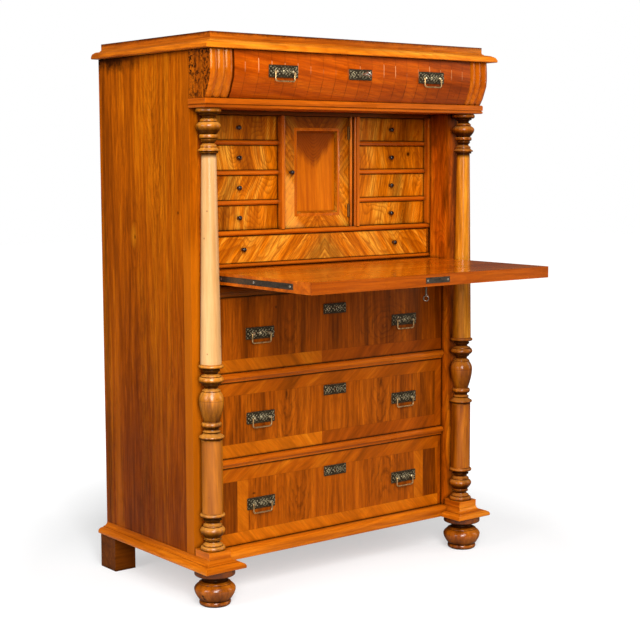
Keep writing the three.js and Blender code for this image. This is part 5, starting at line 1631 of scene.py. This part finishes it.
def rivets():
    """Domed rivets through the straps, and screws with slots in the lock plate."""
    for hand, side in zip(HANDS, (-1, 1)):
        low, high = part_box(f"{hand}_flap_strap")
        parts = []
        for from_end in RIVETS_FROM_END:
            y = low.y + from_end
            dome = [(3.2, -0.3), (3.2, 0.1), (2.4, 0.45), (1.2, 0.62), (0.2, 0.66)]
            at_x, middle_z = side * STRAP_FACE, (low.z + high.z) / 2
            parts.append(lathe(
                in_metres(dome), 20,
                lambda p, y=y, s=side, x=at_x, z=middle_z: Vector((x + s * p.z, y + p.x, z + s * p.y)),
            ))
        points, faces = joined(*parts)
        piece(f"{hand}_strap_rivets", points, faces, METALS["steel"], "flap")
    low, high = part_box("flap_lock_plate")
    parts = []
    for x in (low.x + SCREW_INSET, high.x - SCREW_INSET):
        head = [(2.8, -0.3), (2.8, 0.03), (2.5, 0.08), (0.2, 0.1)]
        parts.append(lathe(in_metres(head), 20, facing(x, low.y, (low.z + high.z) / 2)))
    points, faces = joined(*parts)
    piece("lock_plate_screws", points, faces, METALS["steel"], "flap")
    print("rivets and screws")


knobs()
keys()
rivets()

# %% [markdown]
# ## The stage
#
# The photograph has a plain white ground. A large pale floor takes the shadow of the cabinet and grows
# brighter away from it, so that it runs into the white behind without a horizon. The world is white to the
# camera, a soft grey as a light, and nearly dark in reflections, because the polish in the photograph keeps
# its deep colour. A large lamp high in front throws the shadow of the flap on the top drawer, and a smaller
# one above lights what looks upwards. One on the left lights the side, most at its top, and a small one on
# the right draws a bright edge on the right column.

# %% Floor, world and lamps
FLOOR_HALF = 14.0
FLOOR_GREY = 0.5
CLEAR_FROM, CLEAR_TO = 0.75, 1.6
NEAR_GLOW, FAR_GLOW = 0.5, 1.0
SKY_LIGHT, SKY_GLOSS = 0.18, 0.06
CABINET_MIDDLE = (0.0, 0.1)


def stage_floor():
    mesh = bpy.data.meshes.new("floor")
    corners = [(-1, -1), (1, -1), (1, 1), (-1, 1)]
    mesh.from_pydata([(a * FLOOR_HALF, b * FLOOR_HALF, 0.0) for a, b in corners], [], [(0, 1, 2, 3)])
    material = bpy.data.materials.new("floor")
    material.use_nodes = True
    tree = material.node_tree
    shader = tree.nodes["Principled BSDF"]
    shader.inputs["Base Color"].default_value = (FLOOR_GREY, FLOOR_GREY, FLOOR_GREY, 1.0)
    shader.inputs["Roughness"].default_value = 0.9
    shader.inputs["Specular IOR Level"].default_value = 0.0
    _, xyz = places(tree)
    a = minus(tree, xyz[0], CABINET_MIDDLE[0])
    b = minus(tree, xyz[1], CABINET_MIDDLE[1])
    away = length_of(tree, a, b)
    seen = add(tree, "ShaderNodeLightPath").outputs["Is Camera Ray"]
    glow = times(tree, spread(tree, away, CLEAR_FROM, CLEAR_TO, NEAR_GLOW, FAR_GLOW), seen)
    shader.inputs["Emission Color"].default_value = (1.0, 1.0, 1.0, 1.0)
    tree.links.new(glow, shader.inputs["Emission Strength"])
    mesh.materials.append(material)
    floor = bpy.data.objects.new("floor", mesh)
    bpy.context.scene.collection.objects.link(floor)


def stage_world():
    world = bpy.data.worlds.new("world")
    bpy.context.scene.world = world
    world.use_nodes = True
    tree = world.node_tree
    seen = add(tree, "ShaderNodeLightPath").outputs
    white = calc(tree, "MAXIMUM", seen["Is Camera Ray"], seen["Is Transmission Ray"])
    soft = plus(tree, SKY_LIGHT, times(tree, seen["Is Glossy Ray"], SKY_GLOSS - SKY_LIGHT))
    strength = plus(tree, soft, times(tree, white, 1.0 - SKY_LIGHT))
    background = tree.nodes["Background"]
    background.inputs["Color"].default_value = (1.0, 1.0, 1.0, 1.0)
    tree.links.new(strength, background.inputs["Strength"])


def lamp(name, place, target, width, height, power):
    light = bpy.data.lights.new(name, "AREA")
    light.shape = "RECTANGLE"
    light.size, light.size_y = width, height
    light.energy = power
    made = bpy.data.objects.new(name, light)
    bpy.context.scene.collection.objects.link(made)
    made.location = place
    made.rotation_euler = (Vector(target) - Vector(place)).to_track_quat("-Z", "Y").to_euler()


stage_floor()
stage_world()
lamp("key_lamp", (-2.5, -4.0, 2.9), (-0.2, 0.0, 0.9), 1.7, 3.4, 320.0)
lamp("top_lamp", (-0.8, -2.6, 4.2), (0.0, -0.2, 0.8), 1.6, 1.2, 56.0)
lamp("side_lamp", (-4.4, -0.3, 2.4), (-0.4, 0.1, 0.8), 1.8, 2.4, 80.0)
lamp("edge_lamp", (3.3, -1.8, 1.6), (0.3, 0.0, 0.8), 0.4, 2.0, 28.0)
bpy.context.scene.view_settings.view_transform = "Standard"
print("stage ready")
